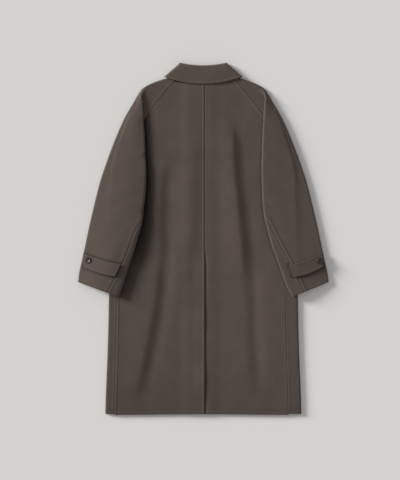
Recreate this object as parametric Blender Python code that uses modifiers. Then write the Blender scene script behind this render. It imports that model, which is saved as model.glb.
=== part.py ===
"""Balmacaan coat of heavy wool, laid face down with its arms at its sides.

Sizes are millimetres while the points are worked out and become metres in the meshes.
X runs to the right of the laid coat, Y from the hem to the collar, Z up from the surface.
Seen from above, the wearer's left side is on the left, at negative X.
"""
import math

import bpy
import numpy as np

MM = 0.001
WALL = 2.4
HALF = WALL / 2
SEAM_GAP = 0.3

# Heights of the middle of the cloth above the surface.
FRONT_Z = HALF
BACK_Z = 7.6
ARM_Z = 12.0
CREASE_LOW_Z = 8.4

# The fronts lap over each other down the middle and carry the collar's points.
FRONT_LAP = 40.0
LAP_STEP = 2.9
COLLAR_STEP = 3.6
FRONT_HEM_SHORT = 3.0

# The back's centre seam and vent, where the left back lies over the right.
CENTRE_EDGE = 4.6
SEAM_ALLOWANCE = 10.0
VENT_UNDERLAP = 44.0
VENT_TOP = -37.0
VENT_STEP = 16.0
CENTRE_RISE = 2.0
UNDER_DROP = 2.3

HEM_MIDDLE = -574.4
HEM_SIDE = -576.7
UNDERARM = (285.0, 242.0)
UNDERARM_DIP = 2.2

# Outline of shoulder and sleeve: distance from the middle (x) at each height (y).
SLEEVE_OUTLINE = [
    (525, 106), (521, 127), (518, 142), (512, 156), (506, 171), (499, 185), (492, 195.5),
    (486, 202.5), (479, 207), (466, 215.5), (453, 222.5), (427, 238), (401, 253), (375, 266),
    (349, 277), (296, 298.5), (244, 317.5), (192, 335), (139, 349), (87, 361.5), (35, 373.5),
    (-18, 384.5), (-70, 396), (-122, 406.5), (-146, 409),
]
# Inner fold of each sleeve, where it lies on the back.
INNER_FOLD = {
    "left": [
        (485, 196), (479, 199), (453, 200), (421, 197), (388, 196), (339, 193), (290, 191),
        (228, 187.5), (165, 189), (103, 195), (48, 202), (2, 215), (-41, 227), (-103, 248),
        (-145, 261), (-192, 277),
    ],
    "right": [
        (485, 198), (476, 201), (460, 202), (421, 199), (388, 197), (322, 194), (257, 191),
        (228, 191), (165, 193), (103, 196), (74, 200), (31, 210), (-18, 223), (-66, 240),
        (-112, 257), (-153, 272), (-197, 296),
    ],
}
BODY_SIDE = [
    (300, 290), (275, 293), (241, 295.5), (126, 300), (-37, 304), (-191, 308), (-247, 309),
    (-312, 310.5), (-377, 312.5), (-443, 315), (-508, 318), (-575, 319.5),
]
SIDE_SEAM = {
    "left": [(242, 285), (126, 281), (-37, 281), (-201, 283), (-364, 286), (-577, 292)],
    "right": [(242, 285), (126, 277), (-37, 270), (-217, 269), (-397, 274), (-577, 279)],
}
BACK_RAGLAN = [(530, 82), (518, 92), (397, 189), (287, 256), (242, 284)]
FRONT_RAGLAN = [(499, 87), (414, 187), (339, 243), (290, 275), (268, 291)]
CREASE = [(480, 203), (243, 285)]

# One row for each section of a sleeve, from the neck to the cuff. y_outer is on the outline,
# y_inner on the inner fold, y_crease on the hidden crease and y_seam on the raglan seam, or
# below the underarm on the under-sleeve seam, seam_x from the middle. fold grows from 0 at
# the shoulder to 1, r_outer and r_inner are the radii of the two rolled edges.
SLEEVE_ROWS = [
    {"y_outer": 525, "y_inner": 0, "y_crease": 0, "y_seam": 526, "fold": 0, "r_outer": 0, "r_inner": 0},
    {"y_outer": 520, "y_inner": 0, "y_crease": 0, "y_seam": 509, "fold": 0, "r_outer": 0, "r_inner": 0},
    {"y_outer": 513, "y_inner": 0, "y_crease": 0, "y_seam": 489, "fold": 0, "r_outer": 0, "r_inner": 0},
    {"y_outer": 505, "y_inner": 0, "y_crease": 0, "y_seam": 471, "fold": 0, "r_outer": 0, "r_inner": 0},
    {"y_outer": 496, "y_inner": 0, "y_crease": 0, "y_seam": 453, "fold": 0, "r_outer": 0, "r_inner": 0},
    {"y_outer": 487, "y_inner": 480, "y_crease": 477, "y_seam": 438, "fold": 0.35, "r_outer": 3.6, "r_inner": 2.4},
    {"y_outer": 477, "y_inner": 469, "y_crease": 466, "y_seam": 426, "fold": 0.7, "r_outer": 4.2, "r_inner": 2.6},
    {"y_outer": 465, "y_inner": 454, "y_crease": 455, "y_seam": 414, "fold": 1, "r_outer": 4.6, "r_inner": 2.9},
    {"y_outer": 448, "y_inner": 433, "y_crease": 437, "y_seam": 401, "fold": 1, "r_outer": 4.8, "r_inner": 3.4},
    {"y_outer": 426, "y_inner": 407, "y_crease": 414, "y_seam": 380, "fold": 1, "r_outer": 4.6, "r_inner": 4.1},
    {"y_outer": 397, "y_inner": 375, "y_crease": 384, "y_seam": 351, "fold": 1, "r_outer": 4.4, "r_inner": 4.8},
    {"y_outer": 360, "y_inner": 334, "y_crease": 347, "y_seam": 319, "fold": 1, "r_outer": 4.2, "r_inner": 5.3},
    {"y_outer": 320, "y_inner": 290, "y_crease": 308, "y_seam": 288, "fold": 1, "r_outer": 4.0, "r_inner": 5.5},
    {"y_outer": 280, "y_inner": 247, "y_crease": 271, "y_seam": 262, "fold": 1, "r_outer": 3.8, "r_inner": 5.5},
    {"y_outer": 250, "y_inner": 213, "y_crease": 248, "y_seam": 246, "fold": 1, "r_outer": 3.6, "r_inner": 5.5},
]
# Below the underarm left and right give the under-sleeve seam as a distance round the section
# from the inner fold, on the top where positive and on the under side where negative.
ARM_ROWS = [
    {"y_outer": 229, "y_inner": 190, "left": -90, "right": -90, "r_outer": 3.5, "r_inner": 5.5, "tail": 24},
    {"y_outer": 206, "y_inner": 166, "left": -76, "right": -76, "r_outer": 3.4, "r_inner": 5.5, "tail": 18},
    {"y_outer": 172, "y_inner": 130, "left": -48, "right": -48, "r_outer": 3.4, "r_inner": 5.5, "tail": 10},
    {"y_outer": 144, "y_inner": 101, "left": -24, "right": -24, "r_outer": 3.4, "r_inner": 5.5, "tail": 4},
    {"y_outer": 125, "y_inner": 82, "left": -6, "right": -6, "r_outer": 3.4, "r_inner": 5.5, "tail": 0},
    {"y_outer": 110, "y_inner": 66, "left": 4, "right": 5, "r_outer": 3.4, "r_inner": 5.5, "tail": 0},
    {"y_outer": 92, "y_inner": 48, "left": 10, "right": 11, "r_outer": 3.4, "r_inner": 5.5, "tail": 0},
    {"y_outer": 67, "y_inner": 23, "left": 18, "right": 17, "r_outer": 3.4, "r_inner": 5.5, "tail": 0},
    {"y_outer": 18, "y_inner": -27, "left": 23, "right": 28, "r_outer": 3.4, "r_inner": 5.5, "tail": 0},
    {"y_outer": -31, "y_inner": -76, "left": 25, "right": 36, "r_outer": 3.4, "r_inner": 5.4, "tail": 0},
    {"y_outer": -77, "y_inner": -123, "left": 32, "right": 44, "r_outer": 3.4, "r_inner": 5.2, "tail": 0},
    {"y_outer": -115, "y_inner": -162, "left": 39, "right": 46, "r_outer": 3.4, "r_inner": 5.0, "tail": 0},
    {"y_outer": -142, "y_inner": -190, "left": 42, "right": 43, "r_outer": 3.4, "r_inner": 4.8, "tail": 0},
]
FRONT_SEAM_YS = [497, 482, 465, 449, 433, 421, 410, 400, 388, 371, 350, 325, 297, 270]

# Soft valleys in the back: the side, where each runs, its half width and depth.
VALLEYS = [
    {"side": "left", "line": [(240, 104), (77, 115), (-112, 129), (-279, 163), (-459, 196)],
     "width": 27.0, "depth": 3.0, "top": 235, "bottom": -520},
    {"side": "right", "line": [(400, 86), (313, 109), (257, 120), (133, 124), (54, 136), (-24, 148),
                               (-148, 150), (-338, 162), (-485, 166)],
     "width": 19.0, "depth": 3.4, "top": 385, "bottom": -540},
]

# Sections of the collar from the neck seam up the stand, over the roll and down the fall.
COLLAR_ROWS = [
    {"name": "neck", "x_side": 109.5, "y_back": 524.6, "y_side": 534, "y_front": 452, "z_back": 8.8,
     "z_front": 4.8, "x_end": 6.5, "foot": 0, "power": 2.2},
    {"name": "stand", "x_side": 92, "y_back": 545, "y_side": 552, "y_front": 468, "z_back": 8.8,
     "z_front": 4.8, "x_end": 6.5, "foot": 0, "power": 2.2},
    {"name": "stand top", "x_side": 72, "y_back": 560, "y_side": 564, "y_front": 484, "z_back": 9.2,
     "z_front": 4.8, "x_end": 6.5, "foot": 0, "power": 2.2},
    {"name": "roll", "x_side": 76.5, "y_back": 567.4, "y_side": 575.5, "y_front": 489, "z_back": 13.0,
     "z_front": 3.0, "x_end": 7, "foot": 0, "power": 2.2},
    {"name": "fall top", "x_side": 83, "y_back": 561.5, "y_side": 568.5, "y_front": 483, "z_back": 16.6,
     "z_front": 1.3, "x_end": 8, "foot": 4, "power": 2.2},
    {"name": "fall", "x_side": 104, "y_back": 537, "y_side": 549, "y_front": 425, "z_back": 15.4,
     "z_front": 1.3, "x_end": 18, "foot": 16, "power": 1.9},
    {"name": "edge", "x_side": 127, "y_back": 508.2, "y_side": 528, "y_front": 362, "z_back": 13.3,
     "z_front": 1.3, "x_end": 29, "foot": 29, "power": 1.65},
]

# Corners of the cuff tabs and middles of their buttons, each from the middle.
TAB_LIFT = WALL + 1.2
TABS = {
    "left": {"outer_top": (387, -58), "inner_top": (268, -84), "inner_low": (288, -124), "outer_low": (391, -92)},
    "right": {"outer_top": (389, -55), "inner_top": (279, -86), "inner_low": (294, -126), "outer_low": (394, -90)},
}
BUTTONS = {"left": (376, -70), "right": (380, -73)}
BUTTON_RADIUS = 10.5
BUTTON_THICKNESS = 3.2

SLEEVE_BACK_COLUMNS = 24
SLEEVE_FRONT_COLUMNS = 12
TURN_WEIGHT = 11.0
END_STEP = 0.8
OVERARM_IN = 2.0

CLOTH = (0.082, 0.064, 0.053)
CLOTH_DARK = (0.070, 0.055, 0.046)
HORN = (0.030, 0.021, 0.017)


def smooth(start, end, value):
    """Rise softly from 0 at start to 1 at end."""
    t = np.clip((np.asarray(value, float) - start) / (end - start), 0.0, 1.0)
    return t * t * (3 - 2 * t)


def along(table, y):
    """Read a curve given as (y, x) pairs at a height, with soft bends."""
    pairs = sorted(table)
    ys = np.array([p[0] for p in pairs], float)
    xs = np.array([p[1] for p in pairs], float)
    slopes = np.gradient(xs, ys)
    y = float(np.clip(y, ys[0] - 40, ys[-1] + 40))
    i = int(np.clip(np.searchsorted(ys, y) - 1, 0, len(ys) - 2))
    span = ys[i + 1] - ys[i]
    t = (y - ys[i]) / span
    if t < 0 or t > 1:
        edge = 0 if t < 0 else len(ys) - 1
        return xs[edge] + slopes[edge] * (y - ys[edge])
    a = (1 + 2 * t) * (1 - t) ** 2 * xs[i] + t * (1 - t) ** 2 * span * slopes[i]
    b = t * t * (3 - 2 * t) * xs[i + 1] + t * t * (t - 1) * span * slopes[i + 1]
    return a + b


def collar_reach(x):
    """Lower edge of the collar's front, which lies under the fronts."""
    t = max(abs(x) - 29.0, 0.0) / 98.0
    return 362 + 166 * t ** 1.65


def collar_lift(x, y):
    reach = collar_reach(max(abs(x) - 16.0, 0.0)) - 12
    return COLLAR_STEP * float(smooth(reach - 34, reach, y))


def front_level(x, y, side):
    """Middle of a front's cloth; x is counted outward from the middle on its own side."""
    z = FRONT_Z + collar_lift(x, y)
    if side == "right":
        z += LAP_STEP * float(smooth(65, 46, x))
    return z


def back_level(x, y, side, folds=True):
    """Middle of the back's cloth; x is counted outward from the middle on its own side."""
    z = BACK_Z + 0.6 * float(smooth(470, 510, y))
    hump = float(smooth(95, 50, abs(x)) * smooth(270, 345, y) * smooth(508, 460, y))
    z += 3.4 * hump
    if side == "left":
        z += CENTRE_RISE * float(smooth(80, 43, x))
    else:
        rise = CENTRE_RISE * float(smooth(60, 16, x))
        opening = 3.0 * float(smooth(VENT_TOP + 10, VENT_TOP - 40, y))
        under = float(smooth(11.5 + opening, CENTRE_EDGE + 0.6, x))
        z += rise - (UNDER_DROP + 0.4) * under
    reach = math.hypot(x - UNDERARM[0], y - UNDERARM[1])
    z -= UNDERARM_DIP * math.exp(-((reach / 30.0) ** 2))
    if folds:
        for fold in VALLEYS:
            if fold["side"] != side:
                continue
            gone = float(smooth(fold["top"], fold["top"] - 70, y) * smooth(fold["bottom"], fold["bottom"] + 150, y))
            off = (x - along(fold["line"], y)) / fold["width"]
            z -= fold["depth"] * gone * math.exp(-off * off)
    return z


def arm_level(x, y):
    """Middle of the sleeve's under layer, on the body or down on the surface beside it."""
    side = along(BODY_SIDE, y) if y < 275 else 294.0
    ramp = 13 + 15 * float(smooth(240, 150, y))
    return FRONT_Z + (ARM_Z - FRONT_Z) * float(smooth(side + 1 + ramp, side + 1, x))


def mix(a, b, t):
    return np.asarray(a, float) * (1 - t) + np.asarray(b, float) * t


def arc(centre, out, radius, start, end, steps):
    """Points round a roll whose plane holds the direction out and Z."""
    points = []
    for i in range(steps + 1):
        angle = math.radians(start + (end - start) * i / steps)
        flat = np.array(centre[:2]) + radius * math.cos(angle) * np.asarray(out)
        points.append((flat[0], flat[1], centre[2] + radius * math.sin(angle)))
    return points


def run(start, end, height, steps):
    """Points between two plan positions with the height read from a function of the fraction."""
    points = []
    for i in range(1, steps):
        t = i / steps
        flat = mix(start, end, t)
        points.append((flat[0], flat[1], height(t, flat)))
    return points


def unit(vector):
    vector = np.asarray(vector, float)
    return vector / max(np.linalg.norm(vector), 1e-9)


def front_start(i):
    """Where a section of the sleeve front starts: on the front raglan seam, or at the underarm."""
    if i < len(FRONT_SEAM_YS) - 1:
        return front_seam_point(i, True)
    if i == len(FRONT_SEAM_YS) - 1:
        return front_seam_point(i, True) + np.array([7.2, 0])
    return np.array([297.5, 243.0])


def outer_roll(row, outer, way, radius, low):
    """The overarm edge from its seam on the under side, round the outline to the top."""
    way_low = way
    if row in SLEEVE_ROWS:
        way_low = unit(front_start(SLEEVE_ROWS.index(row)) - outer)
    start = outer + (radius + OVERARM_IN) * way_low
    points = [(*start, low)]
    points += arc((*(outer + radius * way_low), low + radius), -way_low, radius, -90, 0, 7)[:-1]
    return points + arc((*(outer + radius * way), low + radius), -way, radius, 0, 90, 7)


def shoulder_section(row, side):
    """Section of a sleeve back above the fold, from the outline to the raglan seam."""
    outer = np.array([along(SLEEVE_OUTLINE, row["y_outer"]), row["y_outer"]])
    seam = np.array([along(BACK_RAGLAN, row["y_seam"]) + 0.75 * SEAM_GAP, row["y_seam"]])
    way = unit(seam - outer)
    low = front_level(outer[0], outer[1], "left")
    top = back_level(outer[0], outer[1], side, False)
    radius = (top - low) / 2
    points = outer_roll(row, outer, way, radius, low)
    start = outer + radius * way
    points += run(start, seam, lambda t, p: back_level(p[0], p[1], side), 80)
    points.append((*seam, back_level(seam[0], seam[1], side)))
    return points


def top_height(row, outer, inner, flat, fraction, low, high, edge):
    """Height of a sleeve's top layer between its two rolled edges."""
    first = low + 2 * row["r_outer"]
    last = high + 2 * row["r_inner"]
    start = min(edge + 32, outer[0] - row["r_outer"] - 1)
    lift = float(smooth(start, edge - 3, flat[0]))
    middle = first + (high - low) * lift
    return middle + (last - first - (high - low)) * float(smooth(0.45, 1.0, fraction))


def folded_section(row, side):
    """Section from the outline over the inner fold, back to the crease and in to the raglan seam."""
    outer = np.array([along(SLEEVE_OUTLINE, row["y_outer"]), row["y_outer"]])
    inner = np.array([along(INNER_FOLD[side], row["y_inner"]), row["y_inner"]])
    crease = np.array([along(CREASE, row["y_crease"]), row["y_crease"]])
    aside = 0.75 * SEAM_GAP
    if row["y_seam"] < 290:
        aside = 2.5 if row is SLEEVE_ROWS[-1] else 1.0
    seam = np.array([along(BACK_RAGLAN, row["y_seam"]) + aside, row["y_seam"]])
    way = unit(inner - outer)
    ro, ri = row["r_outer"], row["r_inner"]
    low = FRONT_Z
    high = ARM_Z
    points = outer_roll(row, outer, way, ro, low)
    start, end = outer + ro * way, inner - ri * way
    points += run(start, end, lambda t, p: top_height(row, outer, inner, p, t, low, high, crease[0] + 12), 24)
    points += arc((*end, high + ri), way, ri, 90, -90, 14)
    back_way = unit(inner - crease)
    seam_z = back_level(seam[0], seam[1], side)
    if row is SLEEVE_ROWS[-1]:
        seam_z = CREASE_LOW_Z
    turn = (high - seam_z) / 2
    centre = crease + turn * back_way
    points += run(end, centre, lambda t, p: high, 14)
    points += arc((*centre, seam_z + turn), -back_way, turn, 90, -90, 14)
    flat_end = seam_z
    if row is SLEEVE_ROWS[-1]:
        points += run(centre, seam, lambda t, p: flat_end, 24)
    else:
        points += run(centre, seam, lambda t, p: mix(flat_end, back_level(p[0], p[1], side), min(1, t * 2)), 24)
    points.append((*seam, seam_z))
    if row["fold"] < 1:
        points = mix(unfolded_section(row, side), points, row["fold"])
    return points


def unfolded_section(row, side):
    """The same points as folded_section before the fold begins, spread over the flat shoulder."""
    outer = np.array([along(SLEEVE_OUTLINE, row["y_outer"]), row["y_outer"]])
    seam = np.array([along(BACK_RAGLAN, row["y_seam"]) + 0.75 * SEAM_GAP, row["y_seam"]])
    way = unit(seam - outer)
    low = FRONT_Z
    top = back_level(outer[0], outer[1], side, False)
    radius = (top - low) / 2
    start = outer + radius * way
    points = outer_roll(row, outer, way, radius, low)
    marks = [start, outer + 11 * way, outer + 17 * way, outer + 21 * way, outer + 27 * way, seam]
    steps = [24, 14, 14, 14, 24]
    level = lambda t, p: back_level(p[0], p[1], side)
    for i, count in enumerate(steps):
        if i in (1, 3):
            points += [(*mix(marks[i], marks[i + 1], j / count),
                        level(0, mix(marks[i], marks[i + 1], j / count))) for j in range(count + 1)]
        else:
            points += run(marks[i], marks[i + 1], level, count)
    points.append((*seam, level(0, seam)))
    return points


def ring_section(row, side):
    """Closed section of a sleeve, from the outline over the top, round the inner fold and back below."""
    outer = np.array([along(SLEEVE_OUTLINE, row["y_outer"]), row["y_outer"]])
    inner = np.array([along(INNER_FOLD[side], row["y_inner"]), row["y_inner"]])
    way = unit(inner - outer)
    ro, ri = row["r_outer"], row["r_inner"]
    low, high = FRONT_Z, arm_level(inner[0], inner[1])
    edge = along(BODY_SIDE, row["y_outer"] * 0.5 + row["y_inner"] * 0.5)
    points = outer_roll(row, outer, way, ro, low)
    start, end = outer + ro * way, inner - ri * way
    points += run(start, end, lambda t, p: top_height(row, outer, inner, p, t, low, high, edge), 60)
    points += arc((*end, high + ri), way, ri, 90, -90, 14)
    finish = outer + (ro + OVERARM_IN) * way
    points += run(end, finish, lambda t, p: arm_level(p[0], p[1]), 60)
    points.append((*finish, low))
    return points


def measure(points, tail=0.0):
    """Length along a section, counting turns too, so that rolled edges get enough points."""
    points = np.asarray(points, float)
    steps = np.diff(points, axis=0)
    lengths = np.linalg.norm(steps, axis=1)
    ways = steps / np.maximum(lengths, 1e-6)[:, None]
    turns = np.zeros(len(lengths))
    cosines = np.clip((ways[1:] * ways[:-1]).sum(1), -1, 1)
    moved = np.minimum(lengths[1:], lengths[:-1]) > 1e-3
    angles = np.where(moved, np.arccos(cosines), 0.0)
    turns[1:] += angles / 2
    turns[:-1] += angles / 2
    weight = lengths + TURN_WEIGHT * turns
    if tail:
        to_end = lengths[::-1].cumsum()[::-1]
        near = np.maximum(0.0, 1 - to_end / 10.0) * lengths
        weight = weight + tail * near / max(near.sum(), 1e-6)
    true = np.concatenate([[0], lengths.cumsum()])
    counted = np.concatenate([[0], weight.cumsum()])
    return points, true, counted


def spread(points, start, end, count, tail=0.0):
    """Pick count points along a section between two distances, the first and last steps short."""
    points, true, counted = measure(points)
    keep = (true > start + 1e-6) & (true < end - 1e-6)
    first = [np.interp(start, true, points[:, k]) for k in range(3)]
    last = [np.interp(end, true, points[:, k]) for k in range(3)]
    part, true, counted = measure(np.vstack([first, points[keep], last]), tail)
    near, far = np.interp([END_STEP, true[-1] - END_STEP], true, counted)
    marks = np.concatenate([[0], np.linspace(near, far, count - 2), [counted[-1]]])
    return np.column_stack([np.interp(marks, counted, part[:, k]) for k in range(3)])


def seam_distance(points, from_fold):
    """Distance along a ring at which it passes the under-sleeve seam."""
    points, true, counted = measure(points)
    return true[int(np.argmin(points[:, 0]))] - from_fold


def under_seam_gap(from_fold):
    """The under-sleeve seam's gap, wider where the seam bends round the inner fold."""
    if from_fold > 16:
        return SEAM_GAP
    return SEAM_GAP + 2.6 * float(smooth(32, 10, abs(from_fold)))


def sleeve_back_grid(side):
    rows = []
    for row in SLEEVE_ROWS:
        section = folded_section(row, side) if row["fold"] else shoulder_section(row, side)
        points, true, counted = measure(section)
        rows.append(spread(section, SEAM_GAP / 2, true[-1], SLEEVE_BACK_COLUMNS))
    for row in ARM_ROWS:
        section = ring_section(row, side)
        seam = seam_distance(section, row[side])
        gap = under_seam_gap(row[side])
        rows.append(spread(section, SEAM_GAP / 2, seam - gap / 2, SLEEVE_BACK_COLUMNS, row["tail"]))
    return np.array(rows)


def front_seam_point(i, outside):
    """A point of the front raglan seam; outside is the sleeve's edge, a little further out."""
    y = FRONT_SEAM_YS[i]
    x = along(FRONT_RAGLAN, y)
    return np.array([x + (SEAM_GAP if outside else -SEAM_GAP), y])


def sleeve_front_grid(side):
    rows = []
    for i, row in enumerate(SLEEVE_ROWS):
        outer = np.array([along(SLEEVE_OUTLINE, row["y_outer"]), row["y_outer"]])
        start = front_start(i)
        way = unit(outer - start)
        low = front_level(outer[0], outer[1], "left")
        radius = row["r_outer"]
        if not radius:
            radius = (back_level(outer[0], outer[1], side, False) - low) / 2
        end = outer - (radius + OVERARM_IN) * way
        if i < len(FRONT_SEAM_YS):
            curl = 1.6 if i == len(FRONT_SEAM_YS) - 1 else 0.0
            height = lambda t, p: front_level(p[0], p[1], "left") + curl * (1 - float(smooth(0, 0.8, t)))
        else:
            height = lambda t, p: arm_level(p[0], p[1])
        section = [(*start, height(0, start))] + run(start, end, height, 30) + [(*end, low)]
        points, true, counted = measure(section)
        rows.append(spread(section, 0, true[-1] - SEAM_GAP / 2, SLEEVE_FRONT_COLUMNS))
    for row in ARM_ROWS:
        section = ring_section(row, side)
        points, true, counted = measure(section)
        seam = seam_distance(section, row[side])
        gap = under_seam_gap(row[side])
        rows.append(spread(section, seam + gap / 2, true[-1] - SEAM_GAP / 2, SLEEVE_FRONT_COLUMNS))
    return np.array(rows)


def hem_height(x):
    return HEM_MIDDLE + (HEM_SIDE - HEM_MIDDLE) * float(smooth(0, 300, abs(x)))


BODY_YS = [241, 225, 180, 120, 50, -22, -50, -115, -190, -265, -340, -415, -490, -550, -574]


def back_grid(side):
    """A back from its centre edge to the raglan and side seams, from neck to hem."""
    rows = []
    seam_ys = [row["y_seam"] for row in SLEEVE_ROWS[:-1]]
    fractions = [0.04, 0.11, 0.19, 0.28, 0.38, 0.48, 0.58, 0.68, 0.78, 0.88, 1.0]
    for y in seam_ys + BODY_YS:
        if y > UNDERARM[1]:
            edge = along(BACK_RAGLAN, y) - 0.75 * SEAM_GAP
        else:
            edge = along(SIDE_SEAM[side], y) - SEAM_GAP / 2
        if side == "left":
            starts = [-CENTRE_EDGE, -1.0]
        else:
            under = VENT_UNDERLAP if y < VENT_TOP else SEAM_ALLOWANCE
            starts = [CENTRE_EDGE - under, CENTRE_EDGE + 0.4, 8.5, 14.5]
        inner = starts[-1]
        xs = starts + [inner + (edge - inner) * f for f in fractions] + [edge]
        xs[-2] = edge - END_STEP
        line = []
        for x in xs:
            bend = float(smooth(440, 526, y)) * (1 - (x / edge) ** 2)
            here = y - 2.4 * bend
            if y < -560:
                here = hem_height(x)
            line.append((x, here, back_level(x, here, side)))
        rows.append(line)
    return np.array(rows)


def front_grid(side):
    """A front from its centre edge, flat below, round the side fold and up to the side seam."""
    rows = []
    steps = [-FRONT_LAP, -14.0, 14.0, FRONT_LAP, 47.0, 64.0]
    for y in FRONT_SEAM_YS + [255] + BODY_YS:
        inner_y = y
        if y > 330:
            inner_y = 330 + (y - 330) * (449 - 330) / (497 - 330)
        folded = y <= 268
        if folded:
            reach = along(BODY_SIDE, y)
            top = back_level(reach - 6, y, side, False)
            radius = (top - FRONT_Z) / 2
            flat_end = reach - radius
        else:
            reach = front_seam_point(FRONT_SEAM_YS.index(y), False)[0]
            flat_end = reach
        section = [(x, y, 0) for x in steps]
        shares = [0.22, 0.45, 0.68, 0.87, 1.0]
        last_flat = flat_end - (0 if folded else 4.2)
        section += [(steps[-1] + (last_flat - steps[-1]) * f, y, 0) for f in shares]
        points = []
        for x, _, _ in section:
            bend = (max(x, 0) / reach) ** 2.2
            here = inner_y + (y - inner_y) * min(bend, 1)
            if y < -560:
                here = hem_height(x) + FRONT_HEM_SHORT
            points.append((x, here, front_level(x, here, side)))
        if y < -560:
            y = hem_height(reach) + FRONT_HEM_SHORT
        if folded and y > 250:
            turn = 180.0 * float(smooth(282, 244, y))
            points += arc((flat_end, y, FRONT_Z + radius), (1, 0), radius, -90, -90 + turn, 6)[1:]
        elif folded:
            seam = along(SIDE_SEAM[side], y) + SEAM_GAP / 2
            points += arc((flat_end, y, FRONT_Z + radius), (1, 0), radius, -90, 90, 5)[1:]
            points.append((seam, y, back_level(seam, y, side)))
        else:
            tail = [(flat_end - 4.2 + 4.2 * (j + 1) / 6, y) for j in range(6)]
            points += [(x, h, front_level(x, h, side)) for x, h in tail]
        rows.append(points)
    return np.array(rows)


def rounded(values, count):
    """Smooth curve through a short list of numbers, read at count even steps."""
    values = np.asarray(values, float)
    last = len(values) - 1
    slopes = np.gradient(values)
    result = []
    for step in range(count):
        place = last * step / (count - 1)
        i = min(int(place), last - 1)
        t = place - i
        a = (1 + 2 * t) * (1 - t) ** 2 * values[i] + t * (1 - t) ** 2 * slopes[i]
        b = t * t * (3 - 2 * t) * values[i + 1] + t * t * (t - 1) * slopes[i + 1]
        result.append(a + b)
    return result


def collar_point(row, share):
    """A point of the collar; share runs from 0 at the back's middle to 1 at the front's."""
    back_end, front_start = 0.40, 0.60
    radius = (row["z_back"] - row["z_front"]) / 2
    straight = row["x_side"] - radius
    middle = row["z_front"] + radius
    if share <= back_end:
        x = straight * share / back_end
        z = row["z_back"]
    elif share < front_start:
        angle = math.pi * (share - back_end) / (front_start - back_end)
        x = straight + radius * math.sin(angle)
        z = middle + radius * math.cos(angle)
    else:
        t = (share - front_start) / (1 - front_start)
        x = straight + (row["x_end"] - straight) * t
        z = row["z_front"]
    back_y = row["y_back"] + (row["y_side"] - row["y_back"]) * (x / row["x_side"]) ** 2
    reach = min(max(x - row["foot"], 0) / (straight - row["foot"]), 1)
    front_y = row["y_front"] + (row["y_side"] - row["y_front"]) * reach ** row["power"]
    blend = float(smooth(back_end, front_start, share))
    return (x, back_y + (front_y - back_y) * blend, z)


def collar_grid():
    names = [key for key in COLLAR_ROWS[0] if key != "name"]
    columns = {key: rounded([row[key] for row in COLLAR_ROWS], 15) for key in names}
    sections = [{key: columns[key][i] for key in names} for i in range(15)]
    shares = [0, 0.08, 0.16, 0.24, 0.32, 0.40, 0.45, 0.50, 0.55, 0.60, 0.68, 0.76, 0.84, 0.92, 1.0]
    rows = []
    for share in shares[::-1]:
        rows.append([(-p[0], p[1], p[2]) for p in (collar_point(s, share) for s in sections)])
    for share in shares[1:]:
        rows.append([collar_point(s, share) for s in sections])
    return np.array(rows)


def tab_grid(side):
    """A cuff tab laid over the sleeve's top, its outer end on the rolled edge."""
    tab = TABS[side]
    rows = []
    for v in np.linspace(0, 1, 4):
        outer = mix(tab["outer_top"], tab["outer_low"], v)
        inner = mix(tab["inner_top"], tab["inner_low"], v)
        line = []
        for t in np.linspace(1, 0, 9):
            x, y = mix(outer, inner, t)
            line.append((x, y, sleeve_top(side, x, y) + TAB_LIFT))
        rows.append(line)
    return np.array(rows)


def sleeve_top(side, x, y):
    """Height of the middle of a sleeve's top layer near the cuff."""
    row = {"r_outer": 3.4, "r_inner": 5.3}
    best = None
    for lower, upper in zip(ARM_ROWS[1:], ARM_ROWS[:-1]):
        for t in np.linspace(0, 1, 21):
            y_outer = lower["y_outer"] * t + upper["y_outer"] * (1 - t)
            y_inner = lower["y_inner"] * t + upper["y_inner"] * (1 - t)
            outer = np.array([along(SLEEVE_OUTLINE, y_outer), y_outer])
            inner = np.array([along(INNER_FOLD[side], y_inner), y_inner])
            share = (outer[0] - x) / (outer[0] - inner[0])
            miss = abs(outer[1] + (inner[1] - outer[1]) * share - y)
            if best is None or miss < best[0]:
                row = {key: lower[key] * t + upper[key] * (1 - t) for key in ("r_outer", "r_inner")}
                best = (miss, outer, inner, row, (y_outer + y_inner) / 2)
    _, outer, inner, row, middle = best
    way = unit(inner - outer)
    length = np.linalg.norm(inner - outer)
    place = float(np.dot(np.array([x, y]) - outer, way))
    low, high = FRONT_Z, arm_level(inner[0], inner[1])
    edge = along(BODY_SIDE, middle)
    run_length = length - row["r_outer"] - row["r_inner"]
    share = np.clip((place - row["r_outer"]) / run_length, 0, 1)
    z = top_height(row, outer, inner, (x, y), float(share), low, high, edge)
    if place < row["r_outer"]:
        r = row["r_outer"]
        z -= r - math.sqrt(max(r * r - (r - max(place, 0)) ** 2, 0))
    return z


def clear_scene():
    for item in list(bpy.data.objects):
        bpy.data.objects.remove(item, do_unlink=True)
    for group in (bpy.data.meshes, bpy.data.materials):
        for item in list(group):
            group.remove(item)


def material(name, colour, roughness):
    item = bpy.data.materials.new(name)
    item.use_nodes = True
    shader = item.node_tree.nodes["Principled BSDF"]
    shader.inputs["Base Color"].default_value = (*colour, 1.0)
    shader.inputs["Roughness"].default_value = roughness
    shader.inputs["Metallic"].default_value = 0.0
    return item


def place(item, collection, surface):
    for group in list(item.users_collection):
        group.objects.unlink(item)
    collection.objects.link(item)
    item.data.materials.clear()
    item.data.materials.append(surface)
    for face in item.data.polygons:
        face.use_smooth = True


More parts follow.
